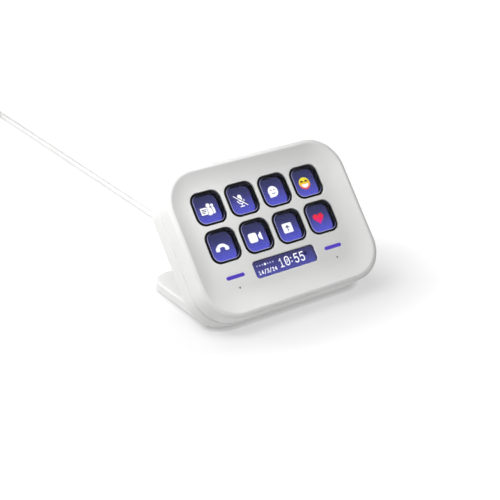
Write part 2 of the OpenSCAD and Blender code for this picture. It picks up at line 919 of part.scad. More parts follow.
module key_collar(i) {
    color("#3c3d42")
        in_head()
            translate(key_place(i))
                difference() {
                    plate(flange_back + collar_gap, sheet_front)
                        rounded_rect(
                            key_w + 2 * flange_overhang - 0.4, key_h + 2 * flange_overhang - 0.4,
                            key_r + flange_overhang - 0.2
                        );
                    plate(flange_back - 1, sheet_front + 1)
                        rounded_rect(
                            key_w + 2 * (flange_overhang - collar_wall) - 0.4,
                            key_h + 2 * (flange_overhang - collar_wall) - 0.4,
                            key_r + flange_overhang - collar_wall - 0.2
                        );
                }
}

// ---------- display ----------

module contact_sheet() {
    color("#5b4a33")
        in_head()
            difference() {
                translate([0, lcd_y])
                    plate(sheet_front + eps, lcd_depth - eps)
                        square([lcd_w, lcd_h], center = true);
                for (i = [1:8])
                    translate(key_place(i))
                        plate(sheet_front - 1, lcd_depth + 1)
                            rounded_rect(window_w, window_h, window_r);
            }
}

module display_panel() {
    color("#22233a")
        in_head()
            translate([0, lcd_y])
                plate(lcd_depth, lcd_back)
                    square([lcd_w, lcd_h], center = true);
}

// A ribbon along a path of places in the face frame's y and depth
module ribbon(x, w, path) {
    for (k = [0:len(path) - 2]) {
        low_y = min(path[k][0], path[k + 1][0]);
        high_y = max(path[k][0], path[k + 1][0]);
        low_d = min(path[k][1], path[k + 1][1]);
        high_d = max(path[k][1], path[k + 1][1]);
        translate([x - w / 2, low_y - flex_t / 2, -high_d - flex_t / 2])
            cube([w, high_y - low_y + flex_t, high_d - low_d + flex_t]);
    }
}

module display_flex() {
    fold_y = tray_foot - 1;
    color("#b06a1e")
        in_head()
            ribbon(lcd_flex_x, lcd_flex_w, [
                [lcd_foot - flex_t / 2, lcd_flex_exit], [fold_y, lcd_flex_exit],
                [fold_y, flex_depth], [connector_y + connector_h / 2, flex_depth]
            ]);
}

module display_carrier() {
    notch_w = lcd_flex_w + 2;
    color("#202124")
        in_head()
            difference() {
                union() {
                    translate([0, (tray_top + tray_foot) / 2])
                        plate(lcd_depth + 0.4, tray_back)
                            square([tray_w, tray_top - tray_foot], center = true);
                    for (p = pillar_places)
                        translate([p[0], (p[1] + (p[1] > 0 ? tray_top - 1 : tray_foot + 1)) / 2])
                            plate(tray_front, tray_back)
                                square(
                                    [tab_w, abs(p[1] - (p[1] > 0 ? tray_top - 1 : tray_foot + 1))
                                        + 2 * tab_reach],
                                    center = true
                                );
                }
                translate([0, lcd_y])
                    plate(0, tray_front)
                        square([lcd_w + 2 * tray_gap, lcd_h + 2 * tray_gap], center = true);
                translate([lcd_flex_x, tray_foot])
                    plate(0, tray_front)
                        square([notch_w, 4 * tray_rim], center = true);
                for (p = pillar_places)
                    translate(p)
                        plate(lcd_depth, tray_back + 1)
                            circle(small_shank_r + hole_gap);
            }
}

module carrier_screws() {
    color("#8c8f94")
        in_head()
            for (p = pillar_places)
                translate([p[0], p[1], -tray_back])
                    screw(small_shank_r, tray_t + 3, small_head_r, small_head_h);
}

module info_lens() {
    color("#aab4dc", 0.35)
        in_head()
            translate([0, -info_drop])
                plate(lens_recess, face_wall + 0.05)
                    rounded_rect(info_w - 2 * lens_gap, info_h - 2 * lens_gap, info_r - lens_gap);
}

module info_display() {
    color("#2c2d52")
        in_head()
            translate([0, -info_drop])
                plate(info_depth, info_depth + info_t)
                    square([info_w + 2 * info_border_w, info_h + 2 * info_border_h], center = true);
}

module info_flex() {
    panel_foot = -info_drop - info_h / 2 - info_border_h;
    exit_depth = info_depth + info_t / 2;
    color("#b06a1e")
        in_head()
            ribbon(info_flex_x, info_flex_w, [
                [panel_foot - flex_t / 2, exit_depth], [panel_foot - 1, exit_depth],
                [panel_foot - 1, flex_depth], [connector_y + connector_h / 2, flex_depth]
            ]);
}

// ---------- touch strips ----------

module touch_light(side) {
    color("#5648c4")
        in_head()
            translate([side * touch_x, -info_drop]) {
                plate(0.1, touch_base_depth + eps)
                    rounded_rect(
                        touch_l - 2 * touch_gap, touch_h - 2 * touch_gap,
                        touch_h / 2 - touch_gap - eps
                    );
                plate(touch_base_depth, touch_base_depth + touch_base_t)
                    square([touch_base_l, touch_base_h], center = true);
            }
}

module touch_board(side) {
    color("#1e6a45")
        in_head()
            translate([side * touch_x, -info_drop])
                plate(touch_board_depth, touch_board_depth + touch_board_t)
                    square([touch_base_l, touch_board_h], center = true);
}

// ---------- main board ----------

module main_board() {
    color("#1e6a45")
        in_head()
            difference() {
                translate([0, board_y])
                    plate(board_depth, board_back)
                        square([board_w, board_h], center = true);
                for (p = board_screw_places)
                    translate(p)
                        plate(board_depth - 1, board_back + 1)
                            circle(small_shank_r + hole_gap);
            }
}

module board_chips() {
    color("#26272b")
        in_head() {
            for (c = back_chips)
                translate([c[0] * board_w, board_y + c[1] * board_h])
                    plate(board_back, board_back + chip_h)
                        square([c[2], c[3]], center = true);
            for (c = [[lcd_flex_x, lcd_flex_w], [info_flex_x, info_flex_w]])
                translate([c[0], connector_y])
                    plate(board_depth - chip_h, board_depth)
                        square([c[1] + 2 * connector_margin, connector_h], center = true);
        }
}

module board_screws() {
    color("#8c8f94")
        in_head()
            for (p = board_screw_places)
                translate([p[0], p[1], -board_depth])
                    mirror([0, 0, 1])
                        screw(small_shank_r, board_t + 3, small_head_r, small_head_h);
}

module cord_header() {
    color("#e6e2d4")
        in_head()
            translate([0, -board_foot + header_gap + header_d / 2])
                plate(board_back, board_back + header_h)
                    square([header_w, header_d], center = true);
}

// The lead's inner end, from the strain relief up into the header
module cord_tail() {
    color("#e4e4e2")
        in_head() {
            translate([0, -gland_drop, -tail_end])
                cylinder(h = tail_end - tail_depth - tail_bend_r, r = tail_r);
            translate([0, -gland_drop + tail_bend_r, -(tail_depth + tail_bend_r)])
                rotate([90, 0, -90])
                    rotate_extrude(angle = 90)
                        translate([tail_bend_r, 0])
                            circle(tail_r);
            translate([0, -gland_drop + tail_bend_r, -tail_depth])
                rotate([-90, 0, 0])
                    cylinder(h = gland_drop - tail_bend_r - board_foot + header_gap, r = tail_r);
        }
}

// ---------- lead ----------

module cord_gland() {
    flange_r = gland_root_r + 1.3;
    color("#e9e9e7")
        in_head()
            translate([0, -gland_drop]) {
                plate(back_inner - gland_flange_t, back_inner)
                    circle(flange_r);
                plate(back_inner - eps, head_depth)
                    circle(gland_root_r);
                translate([0, 0, -head_depth - gland_l])
                    cylinder(h = gland_l + eps, r1 = gland_tip_r, r2 = gland_root_r);
            }
}

function unit(v) = v / norm(v);

// Direction of a route at its point k
function heading(route, k) =
    k == 0 ? unit(route[1] - route[0])
    : k == len(route) - 1 ? unit(route[k] - route[k - 1])
    : unit(unit(route[k + 1] - route[k]) + unit(route[k] - route[k - 1]));

// Ring of points around a route's point
function cord_ring(route, k, sides) =
    let (
        t = heading(route, k),
        side = unit(cross(t, [0, 0, 1])),
        rise = cross(side, t)
    )
    [for (s = [0:sides - 1]) route[k] + cord_r * (cos(360 * s / sides) * side + sin(360 * s / sides) * rise)];

// A tube along a route, closed at both ends
module cord_tube(route) {
    sides = 8;
    rings = len(route);
    points = [for (k = [0:rings - 1]) each cord_ring(route, k, sides)];
    walls = [
        for (k = [0:rings - 2], s = [0:sides - 1])
            let (n = (s + 1) % sides)
            [k * sides + s, (k + 1) * sides + s, (k + 1) * sides + n, k * sides + n]
    ];
    start_cap = [for (s = [0:sides - 1]) s];
    end_cap = [for (s = [sides - 1:-1:0]) (rings - 1) * sides + s];
    polyhedron(points, concat(walls, [start_cap, end_cap]), convexity = 4);
}

module usb_cord() {
    color("#ececea")
        cord_tube(cord_route);
}

module cord_end() {
    color("#ececea")
        cord_tube(end_route);
}

module cord_coil() {
    inner = coil_r - (coil_columns - 1) * cord_d - cord_r;
    color("#ececea")
        translate([-coil_r, coil_y, 0])
            rotate_extrude()
                translate([inner, 0])
                    square([coil_columns * cord_d, coil_layers * cord_d]);
}

module plug_body() {
    relief_front = plug_rear - relief_l;
    color("#e6e6e4")
        translate([plug_x, 0, plug_t / 2]) {
            translate([0, plug_rear, 0])
                rotate([90, 0, 0])
                    cylinder(h = relief_l + eps, r1 = cord_r, r2 = relief_r);
            translate([0, relief_front, 0])
                rotate([90, 0, 0])
                    linear_extrude(plug_l)
                        rounded_rect(plug_w, plug_t, plug_t / 3);
        }
}

module plug_shell() {
    color("#b9bcc1")
        translate([plug_x, plug_rear - relief_l - plug_l, plug_t / 2])
            rotate([90, 0, 0])
                difference() {
                    linear_extrude(shell_l)
                        rounded_rect(shell_w, shell_t, shell_r);
                    translate([0, 0, 1])
                        linear_extrude(shell_l)
                            rounded_rect(shell_w - 0.6, shell_t - 0.6, shell_r - 0.3);
                }
}

// ---------- nodes ----------

front_frame();
rear_housing();
housing_screws();
stand_foot();
stand_bracket();
bracket_screws();
foot_base_plate();
base_screws();
foot_pad();
for (i = [1:8]) {
    key_cap(i);
    key_frame(i);
    key_collar(i);
}
contact_sheet();
display_panel();
display_flex();
display_carrier();
carrier_screws();
info_lens();
info_display();
info_flex();
touch_light(-1);  // touch_light_left
touch_light(1);  // touch_light_right
touch_board(-1);  // touch_board_left
touch_board(1);  // touch_board_right
main_board();
board_chips();
board_screws();
cord_header();
cord_tail();
cord_gland();
usb_cord();
cord_coil();
cord_end();
plug_body();
plug_shell();
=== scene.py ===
import math

import bmesh
import bpy
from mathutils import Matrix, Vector
from mathutils.geometry import delaunay_2d_cdt


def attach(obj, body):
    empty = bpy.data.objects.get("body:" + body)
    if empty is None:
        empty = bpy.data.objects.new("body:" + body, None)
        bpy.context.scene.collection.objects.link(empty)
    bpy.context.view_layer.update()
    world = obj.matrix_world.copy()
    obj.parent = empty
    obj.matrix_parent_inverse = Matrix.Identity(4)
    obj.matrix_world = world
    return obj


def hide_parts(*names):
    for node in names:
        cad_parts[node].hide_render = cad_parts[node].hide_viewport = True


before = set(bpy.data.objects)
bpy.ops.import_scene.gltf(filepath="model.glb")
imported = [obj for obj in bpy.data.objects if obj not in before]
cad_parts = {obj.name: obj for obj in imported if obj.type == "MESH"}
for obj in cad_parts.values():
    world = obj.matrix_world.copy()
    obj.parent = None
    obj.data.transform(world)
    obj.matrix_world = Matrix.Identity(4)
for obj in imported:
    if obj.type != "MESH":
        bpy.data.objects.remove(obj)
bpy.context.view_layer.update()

# ---------- driving sizes, in millimetres ----------
# They are those of the part's source, but for the rim and the dish, which are rounder here.

MM = 0.001
TILT = math.radians(50)  # the face's angle to the desk
SIN, COS = math.sin(TILT), math.cos(TILT)

HEAD_W, HEAD_H, HEAD_R = 107.0, 78.4, 18.5
GRID_RISE = 8.1          # the key grid's centre above the middle of the face
RIM_RISE = 4.3           # the rim's crest above the middle of the face
RIM_W, RIM_EDGE = 2.4, 1.4   # the crest's rounding: its width and its height
DISH_RUN = 12.8          # the dish's slope, inwards from the rim
DISH_END = 11.6          # inset of the last of the slope's even rings
DISH_CORNER = 0.7        # how fast the dish's corner radius shrinks with its inset
FRAME_DEPTH, HEAD_DEPTH, KEEL_DEPTH = 6.4, 18.6, 12.5   # back from the middle of the face
GROOVE = 0.3             # the shadow gap between the frame and the rear housing
BACK_EDGE = 4.5
FACE_WALL, BACK_WALL = 1.6, 2
PAD_T = 0.8

KEYS = range(1, 9)
KEY_PITCH = 20.0
KEY_OPEN_W, KEY_OPEN_H, KEY_OPEN_R = 17.9, 17.6, 5.0
KEY_GAP, KEY_RECESS = 0.3, 0.2
CAP_PLATE, CAP_EDGE = 1.1, 0.5
WINDOW_BORDER, CAP_FIT = 0.9, 0.05
FLANGE_BACK, LCD_DEPTH = 2.3, 3.8

INFO_W, INFO_H, INFO_R, INFO_DROP = 37.5, 9.1, 1.8, 26.5
INFO_DEPTH = 1.7
TOUCH_X, TOUCH_L, TOUCH_H = 30.0, 10.6, 1.9
KEY_EDGE, INFO_EDGE, TOUCH_EDGE, DIMPLE_EDGE = 0.2, 0.3, 0.15, 0.12   # roundings of the openings
DIMPLE_DROP, DIMPLE_R, DIMPLE_DEPTH = 32.4, 0.5, 0.4

FOOT_LEN, PAD_SETBACK, PAD_INSET = 53.3, 11.3, 1.6
SCREW_INSET, SCREW_DROP = 9.0, 30.0
SCREW_SEAT, SCREW_HOLE_R, SCREW_SHANK_R = 14.6, 2.55, 1.45

CORD_R = 1.7
GLAND_DROP, GLAND_L, GLAND_ROOT_R, GLAND_TIP_R = 13.0, 12.0, 2.9, 2.2
GLAND_FLANGE, GLAND_LIP, GLAND_BORE_R = 1.2, 1.3, 1.6
RIB_COUNT, RIB_START, RIB_PITCH = 6, 1, 1.8
RIB_PROFILE = ((0, 0), (0.12, 0.42), (0.62, 0.42), (0.74, 0))   # along the relief, and how deep
COIL_R, COIL_COLUMNS, COIL_Y = 27.2, 5, 332.0
INNER_TURNS, CLIMB_TURNS, ALL_TURNS = 4.0, 0.4, 8.5   # turns in, up one layer, and in all
PLUG_W, PLUG_L, PLUG_T = 12.0, 22.0, 6.6
RELIEF_L, RELIEF_R = 5.0, 2.9

GRID_Z = PAD_T + (HEAD_H / 2 + GRID_RISE) * SIN + KEEL_DEPTH * COS


def back_at(z):
    """Desk distance of the head's back at height z, from below the key grid's centre."""
    along = (z - GRID_Z + HEAD_DEPTH * COS) / SIN
    return along * COS + HEAD_DEPTH * SIN


PAD_FRONT = back_at(PAD_T) + PAD_SETBACK
PAD_REAR = back_at(PAD_T) + FOOT_LEN - PAD_INSET
GRID_Y = -(PAD_FRONT + PAD_REAR) / 2


def face(x, y, n):
    """A point of the face's own frame (right, up the face, out of it) in the row frame, in metres."""
    return Vector((x, GRID_Y + y * COS - n * SIN, GRID_Z + y * SIN + n * COS)) * MM


def key_place(i):
    """The middle of key i on the face: 1 to 4 are the upper row, from the left."""
    return ((i - 1) % 4 - 1.5) * KEY_PITCH, (0.5 - (i - 1) // 4) * KEY_PITCH


# ---------- camera ----------

CAMERA_PLACE = Vector((-322.1, -471.2, 291.3)) * MM
CAMERA_LOOK = Vector((0.5118, 0.7418, -0.4335))
CAMERA_LENS = 87.03


def make_camera():
    data = bpy.data.cameras.new("camera")
    data.lens = CAMERA_LENS
    data.sensor_width = 36
    data.clip_start = 0.01
    data.clip_end = 20
    camera = bpy.data.objects.new("camera", data)
    camera.location = CAMERA_PLACE
    camera.rotation_euler = CAMERA_LOOK.to_track_quat("-Z", "Y").to_euler()
    bpy.context.collection.objects.link(camera)
    bpy.context.scene.camera = camera


make_camera()


# ---------- materials ----------


def linear(colour):
    """A colour written as 0-255 screen values, as the shader's own numbers."""
    out = []
    for c in colour:
        c = c / 255
        out.append(c / 12.92 if c <= 0.04045 else ((c + 0.055) / 1.055) ** 2.4)
    return (*out, 1.0)


class Nodes:
    """A short way to write a material's nodes."""

    def __init__(self, name):
        self.material = bpy.data.materials.new(name)
        self.material.use_nodes = True
        self.tree = self.material.node_tree
        self.shader = self.tree.nodes["Principled BSDF"]
        self.place = self.add("ShaderNodeTexCoord").outputs["Object"]

    def add(self, kind, **settings):
        node = self.tree.nodes.new(kind)
        for key, value in settings.items():
            setattr(node, key, value)
        return node

    def link(self, out, socket):
        self.tree.links.new(out, socket)

    def set(self, **values):
        for key, value in values.items():
            self.shader.inputs[key.replace("_", " ")].default_value = value

    def noise(self, scale, detail=3.0):
        node = self.add("ShaderNodeTexNoise")
        node.inputs["Scale"].default_value = scale
        node.inputs["Detail"].default_value = detail
        self.link(self.place, node.inputs["Vector"])
        return node.outputs["Fac"]

    def ramp(self, fac, stops):
        """A ramp through screen colours, each at its place from 0 to 1."""
        node = self.add("ShaderNodeValToRGB")
        elements = node.color_ramp.elements
        for _ in stops[2:]:
            elements.new(1.0)
        for element, (position, colour) in zip(elements, stops):
            element.position = position
            element.color = linear(colour)
        self.link(fac, node.inputs["Fac"])
        return node.outputs["Color"]

    def between(self, fac, low, high, start=0.35, end=0.65):
        """A ramp from one screen colour to another."""
        return self.ramp(fac, ((start, low), (end, high)))

    def number(self, fac, low, high):
        node = self.add("ShaderNodeMapRange")
        node.inputs["To Min"].default_value = low
        node.inputs["To Max"].default_value = high
        self.link(fac, node.inputs["Value"])
        return node.outputs["Result"]

    def bump(self, height, distance, strength=1.0):
        node = self.add("ShaderNodeBump")
        node.inputs["Strength"].default_value = strength
        node.inputs["Distance"].default_value = distance
        self.link(height, node.inputs["Height"])
        self.link(node.outputs["Normal"], self.shader.inputs["Normal"])


def plastic(name, low, high, rough=(0.42, 0.52), grain=2600, depth=0.000006, gloss=0.5):
    """Moulded plastic: a fine spark-eroded grain and a faint drift of tone."""
    m = Nodes(name)
    m.set(Specular_IOR_Level=gloss)
    m.link(m.between(m.noise(26), low, high), m.shader.inputs["Base Color"])
    fine = m.noise(grain, 2.0)
    m.link(m.number(fine, *rough), m.shader.inputs["Roughness"])
    m.bump(fine, depth)
    return m.material


def gloss_black(name):
    """Black lacquer with a faint waviness."""
    m = Nodes(name)
    fine = m.noise(300, 1.0)
    m.link(m.between(fine, (5, 5, 6), (8, 8, 10)), m.shader.inputs["Base Color"])
    m.link(m.number(fine, 0.07, 0.12), m.shader.inputs["Roughness"])
    m.set(Specular_IOR_Level=0.12)
    m.bump(fine, 0.000002)
    return m.material


def metal(name, low, high, rough=(0.24, 0.38), scale=900):
    m = Nodes(name)
    m.set(Metallic=1.0)
    fine = m.noise(scale, 4.0)
    m.link(m.between(fine, low, high, 0.3, 0.7), m.shader.inputs["Base Color"])
    m.link(m.number(fine, *rough), m.shader.inputs["Roughness"])
    m.bump(fine, 0.000004)
    return m.material


def clear_plastic(name, rough=0.03):
    """Polished clear plastic, coated against glare, with the faint flow marks of its moulding."""
    m = Nodes(name)
    m.set(Transmission_Weight=1.0, IOR=1.18, Roughness=rough)
    m.link(m.between(m.noise(120), (244, 246, 252), (250, 251, 255)), m.shader.inputs["Base Color"])
    m.bump(m.noise(60, 1.0), 0.000004, 0.3)
    return m.material


def glow(name, stops, strength=1.0, along=None):
    """A lit surface, with a faint pixel grain, or a ramp up the face between two heights."""
    m = Nodes(name)
    if along is None:
        colour = m.between(m.noise(500, 1.0), *stops)
    else:
        dot = m.add("ShaderNodeVectorMath", operation="DOT_PRODUCT")
        dot.inputs[1].default_value = (0, COS / MM, SIN / MM)
        m.link(m.place, dot.inputs[0])
        span = m.add("ShaderNodeMapRange")
        base = GRID_Y * COS + GRID_Z * SIN
        span.inputs["From Min"].default_value = base + along[0]
        span.inputs["From Max"].default_value = base + along[1]
        m.link(dot.outputs["Value"], span.inputs["Value"])
        colour = m.ramp(span.outputs["Result"], stops)
    m.set(
        Base_Color=(0.002, 0.002, 0.003, 1), Roughness=0.5, Specular_IOR_Level=0.0,
        Emission_Strength=strength,
    )
    m.link(colour, m.shader.inputs["Emission Color"])
    return m.material


SHELL = plastic("shell_plastic", (232, 232, 231), (236, 236, 235), (0.52, 0.62), gloss=0.22)
BASE = plastic("base_plastic", (206, 206, 205), (214, 214, 213))
PAD = plastic("pad_rubber", (44, 44, 46), (56, 56, 58), (0.75, 0.9), 900, 0.00004)
BLACK = plastic("black_plastic", (7, 7, 9), (11, 11, 13), (0.3, 0.42))
GLOSS_BLACK = gloss_black("key_rim_black")
# painted shade: a darker grey for the dimples' deeper walls and floors
PAINTED_DIMPLE_SHADE = plastic("dimple_painted_shade", (120, 120, 121), (128, 128, 129), (0.6, 0.7))
SILICONE = plastic("silicone", (10, 10, 12), (18, 18, 20), (0.55, 0.7))
SHEET = plastic("sheet_film", (6, 6, 8), (12, 12, 14), (0.3, 0.4))
FLEX = plastic("flex_film", (170, 98, 30), (196, 120, 44), (0.3, 0.4))
BOARD = plastic("circuit_board", (22, 84, 54), (34, 106, 70), (0.3, 0.45))
CHIP = plastic("chip_black", (24, 24, 26), (36, 36, 38), (0.5, 0.6))
HEADER = plastic("header_plastic", (222, 216, 198), (232, 228, 212))
JACKET = plastic("lead_jacket", (247, 247, 246), (251, 251, 250), (0.45, 0.6), 1500, 0.00001)
PLUG = plastic("plug_plastic", (234, 234, 232), (240, 240, 238))
SCREW = metal("screw_steel", (150, 152, 156), (186, 188, 192))
BRACKET = metal("bracket_steel", (160, 162, 166), (190, 192, 196))
PLUG_STEEL = metal("plug_steel", (186, 188, 192), (214, 216, 220), (0.18, 0.28))
CLEAR = clear_plastic("clear_plastic")
GLASS = plastic("display_glass", (9, 9, 16), (12, 12, 22), (0.12, 0.2))
TOUCH = glow("light_bar", ((86, 66, 186), (90, 70, 193)))
WHITE = glow("picture_white", ((248, 248, 255), (255, 255, 255)), 1.15)
DIM = glow("picture_dim", ((176, 175, 230), (184, 183, 236)))
# painted highlight: a glow that stands in for screen light caught in a key's clear edge
PAINTED_EDGE_GLINT = glow("cap_painted_edge_glint", ((150, 150, 196), (160, 160, 206)))
DARK = glow("picture_dark", ((36, 34, 78), (42, 40, 86)))
BROWN = glow("picture_brown", ((58, 32, 18), (68, 36, 20)))

NODE_MATERIALS = {
    "front_frame": SHELL, "rear_housing": SHELL, "stand_foot": SHELL, "foot_base_plate": BASE,
    "foot_pad": PAD, "housing_screws": SCREW, "bracket_screws": SCREW, "base_screws": SCREW,
    "carrier_screws": SCREW, "board_screws": SCREW, "stand_bracket": BRACKET,
    "contact_sheet": SHEET, "display_panel": GLASS, "info_display": GLASS, "display_flex": FLEX,
    "info_flex": FLEX, "display_carrier": BLACK, "info_lens": CLEAR, "touch_light_left": TOUCH,
    "touch_light_right": TOUCH, "touch_board_left": BOARD, "touch_board_right": BOARD,
    "main_board": BOARD, "board_chips": CHIP, "cord_header": HEADER, "cord_tail": JACKET,
    "cord_gland": JACKET, "usb_cord": JACKET, "cord_coil": JACKET, "cord_end": JACKET,
    "plug_body": PLUG, "plug_shell": PLUG_STEEL,
}
for number in KEYS:
    NODE_MATERIALS[f"key_cap_{number}"] = CLEAR
    NODE_MATERIALS[f"key_frame_{number}"] = BLACK
    NODE_MATERIALS[f"key_collar_{number}"] = SILICONE


for name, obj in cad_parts.items():
    obj.data.materials.clear()
    obj.data.materials.append(NODE_MATERIALS[name])


# ---------- mesh helpers ----------


def rounded_loop(w, h, r, x=0.0, y=0.0, arc=12, long=10, short=6):
    """Points anticlockwise round a rounded rectangle, as many for every size."""
    corners = ((1, 1, 0), (-1, 1, 90), (-1, -1, 180), (1, -1, 270))
    arcs = []
    for sx, sy, start in corners:
        ox, oy = x + sx * (w / 2 - r), y + sy * (h / 2 - r)
        turns = [math.radians(start + 90 * k / arc) for k in range(arc + 1)]
        arcs.append([(ox + r * math.cos(a), oy + r * math.sin(a)) for a in turns])
    loop = []
    for k, points in enumerate(arcs):
        loop += points
        following = arcs[(k + 1) % 4][0]
        steps = long if k % 2 == 0 else short
        for s in range(1, steps):
            t = s / steps
            loop.append((
                points[-1][0] * (1 - t) + following[0] * t,
                points[-1][1] * (1 - t) + following[1] * t,
            ))
    return loop


def circle_loop(r, x, y, sides=24):
    turns = [2 * math.pi * k / sides for k in range(sides)]
    return [(x + r * math.cos(a), y + r * math.sin(a)) for a in turns]


def quarter_round(steps):
    """Places round an edge of radius one, from its side to its top: (inset, drop)."""
    turns = [math.pi / 2 * k / steps for k in range(steps + 1)]
    return [(1 - math.cos(a), 1 - math.sin(a)) for a in turns]


def add_ring(bm, points):
    return [bm.verts.new(p) for p in points]


def join_rings(bm, rings, flip=False, material=0):
    """Quads between each ring and the next one."""
    for low, high in zip(rings, rings[1:]):
        count = len(low)
        for k in range(count):
            quad = [low[k], low[(k + 1) % count], high[(k + 1) % count], high[k]]
            bm.faces.new(reversed(quad) if flip else quad).material_index = material


def inside(point, loop):
    """Whether a point lies in a loop, by counting the sides that a line from it crosses."""
    x, y = point
    hit = False
    for (x1, y1), (x2, y2) in zip(loop, loop[1:] + loop[:1]):
        if (y1 > y) != (y2 > y) and x < (x2 - x1) * (y - y1) / (y2 - y1) + x1:
            hit = not hit
    return hit


def fill_flat(loops, extra=()):
    """Triangles of the region between loops, the even-odd way: (points, triangles)."""
    points, edges = [], []
    for loop in loops:
        first = len(points)
        points += loop
        edges += [(first + k, first + (k + 1) % len(loop)) for k in range(len(loop))]
    points += list(extra)
    coords = [Vector(p) for p in points]
    verts, _, faces, origin, _, _ = delaunay_2d_cdt(coords, edges, [], 0, 1e-7)
    index = [ids[0] if ids else -1 for ids in origin]
    triangles = []
    for f in faces:
        middle = sum((verts[k] for k in f), Vector((0, 0))) / len(f)
        if sum(inside(middle, loop) for loop in loops) % 2 and all(index[k] >= 0 for k in f):
            triangles.append([index[k] for k in f])
    return points, triangles


def finish_mesh(name, bm, materials, body, replaced=(), sharp=38, weighted=True, recalc=True):
    """The built mesh as a piece that rides on a body, smooth but for its sharp edges."""
    if recalc:
        bmesh.ops.recalc_face_normals(bm, faces=bm.faces)
    mesh = bpy.data.meshes.new(name)
    bm.to_mesh(mesh)
    bm.free()
    for material in materials:
        mesh.materials.append(material)
    mesh.shade_smooth()
    mesh.set_sharp_from_angle(angle=math.radians(sharp))
    obj = bpy.data.objects.new(name, mesh)
    bpy.context.collection.objects.link(obj)
    if weighted:
        weight = obj.modifiers.new("weighted", "WEIGHTED_NORMAL")
        weight.keep_sharp = True
    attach(obj, body)
    if replaced:
        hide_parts(*replaced)
    return obj


# ---------- the lead ----------

LEAD_ROUTE = [
    (0, -3.55, 15.44), (0, -1.05, 13.34), (0, 1.85, 10.94), (0, 4.95, 8.9), (0, 8.45, 7.7),
    (0, 12.8, 7.4), (0, 16.8, 7.4), (0, 20.8, 7.4), (0, 23.8, 7.0), (0, 27.8, 5.8),
    (0, 31.8, 4.2), (0, 35.8, 2.8), (0, 39.8, 2.0), (0, 46, CORD_R), (0, 55, CORD_R),
    *((0, y, CORD_R) for y in range(70, 311, 20)),
]
END_ROUTE = [(-54.4, 326, 4.9), (-54.4, 320, 4.2), (-54.4, 315, 3.5), (-54.4, 310, 3.3)]
TURN_POINTS = 16         # points of the route in each turn of the coil


def coil_point(turns):
    """A place in the coil: in along the desk, up one lead, and out again on top."""
    inner_r = COIL_R - (COIL_COLUMNS - 1) * 2 * CORD_R
    if turns <= INNER_TURNS:
        r, lift = COIL_R + (inner_r - COIL_R) * turns / INNER_TURNS, 0.0
    elif turns <= INNER_TURNS + CLIMB_TURNS:
        part = (turns - INNER_TURNS) / CLIMB_TURNS
        r, lift = inner_r, 2 * CORD_R * (1 - math.cos(math.pi * part)) / 2
    else:
        part = (turns - INNER_TURNS - CLIMB_TURNS) / (ALL_TURNS - INNER_TURNS - CLIMB_TURNS)
        r, lift = inner_r + (COIL_R - inner_r) * part, 2 * CORD_R
    a = 2 * math.pi * turns
    return (-COIL_R + r * math.cos(a), COIL_Y + r * math.sin(a), CORD_R + lift)


def make_lead():
    steps = round(ALL_TURNS * TURN_POINTS)
    points = LEAD_ROUTE + [coil_point(ALL_TURNS * k / steps) for k in range(steps + 1)] + END_ROUTE
    data = bpy.data.curves.new("lead", "CURVE")
    data.dimensions = "3D"
    data.resolution_u = 3
    data.bevel_depth = CORD_R * MM
    data.bevel_resolution = 3
    data.use_fill_caps = True
    spline = data.splines.new("BEZIER")
    spline.bezier_points.add(len(points) - 1)
    for bezier, point in zip(spline.bezier_points, points):
        bezier.co = Vector(point) * MM
        bezier.handle_left_type = "AUTO"
        bezier.handle_right_type = "AUTO"
    data.materials.append(JACKET)
    lead = bpy.data.objects.new("lead", data)
    bpy.context.collection.objects.link(lead)
    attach(lead, "housing")
    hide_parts("usb_cord", "cord_coil", "cord_end")
    make_plug()


def make_plug():
    """The moulded plug: a tapered relief that swells into a soft-edged body."""
    bm = bmesh.new()
    x, z = END_ROUTE[-1][0], END_ROUTE[-1][2]
    rear = END_ROUTE[-1][1]
    front = rear - RELIEF_L - PLUG_L
    round_r = PLUG_T / 3
    sections = [         # place along the lead, width, height and corner radius
        (rear, 3.8, 3.8, 1.89), (rear - 1.2, 4.2, 4.2, 2.09),
        (rear - 3.6, RELIEF_R * 2 - 0.3, RELIEF_R * 2 - 0.3, RELIEF_R - 0.16),
        (rear - RELIEF_L + 0.2, RELIEF_R * 2, RELIEF_R * 2, RELIEF_R - 0.01),
        (rear - RELIEF_L - 0.05, PLUG_W - 2.4, PLUG_T - 0.5, round_r),
        (rear - RELIEF_L - 0.5, PLUG_W - 0.7, PLUG_T - 0.12, round_r),
        (rear - RELIEF_L - 1.3, PLUG_W, PLUG_T, round_r), (front + 0.9, PLUG_W, PLUG_T, round_r),
        (front + 0.3, PLUG_W - 0.4, PLUG_T - 0.3, round_r),
        (front, PLUG_W - 1.4, PLUG_T - 1.2, round_r - 0.4), (front, 6.0, 1.6, 0.79),
    ]
    loops = [
        add_ring(bm, [
            Vector((x + p, y, z + q)) * MM for p, q in rounded_loop(w, h, r, arc=6, long=3, short=3)
        ])
        for y, w, h, r in sections
    ]
    join_rings(bm, loops)
    bm.faces.new(loops[0])
    bm.faces.new(reversed(loops[-1]))
    plug = finish_mesh("plug_moulding", bm, [PLUG], "housing", ["plug_body"])
    return plug


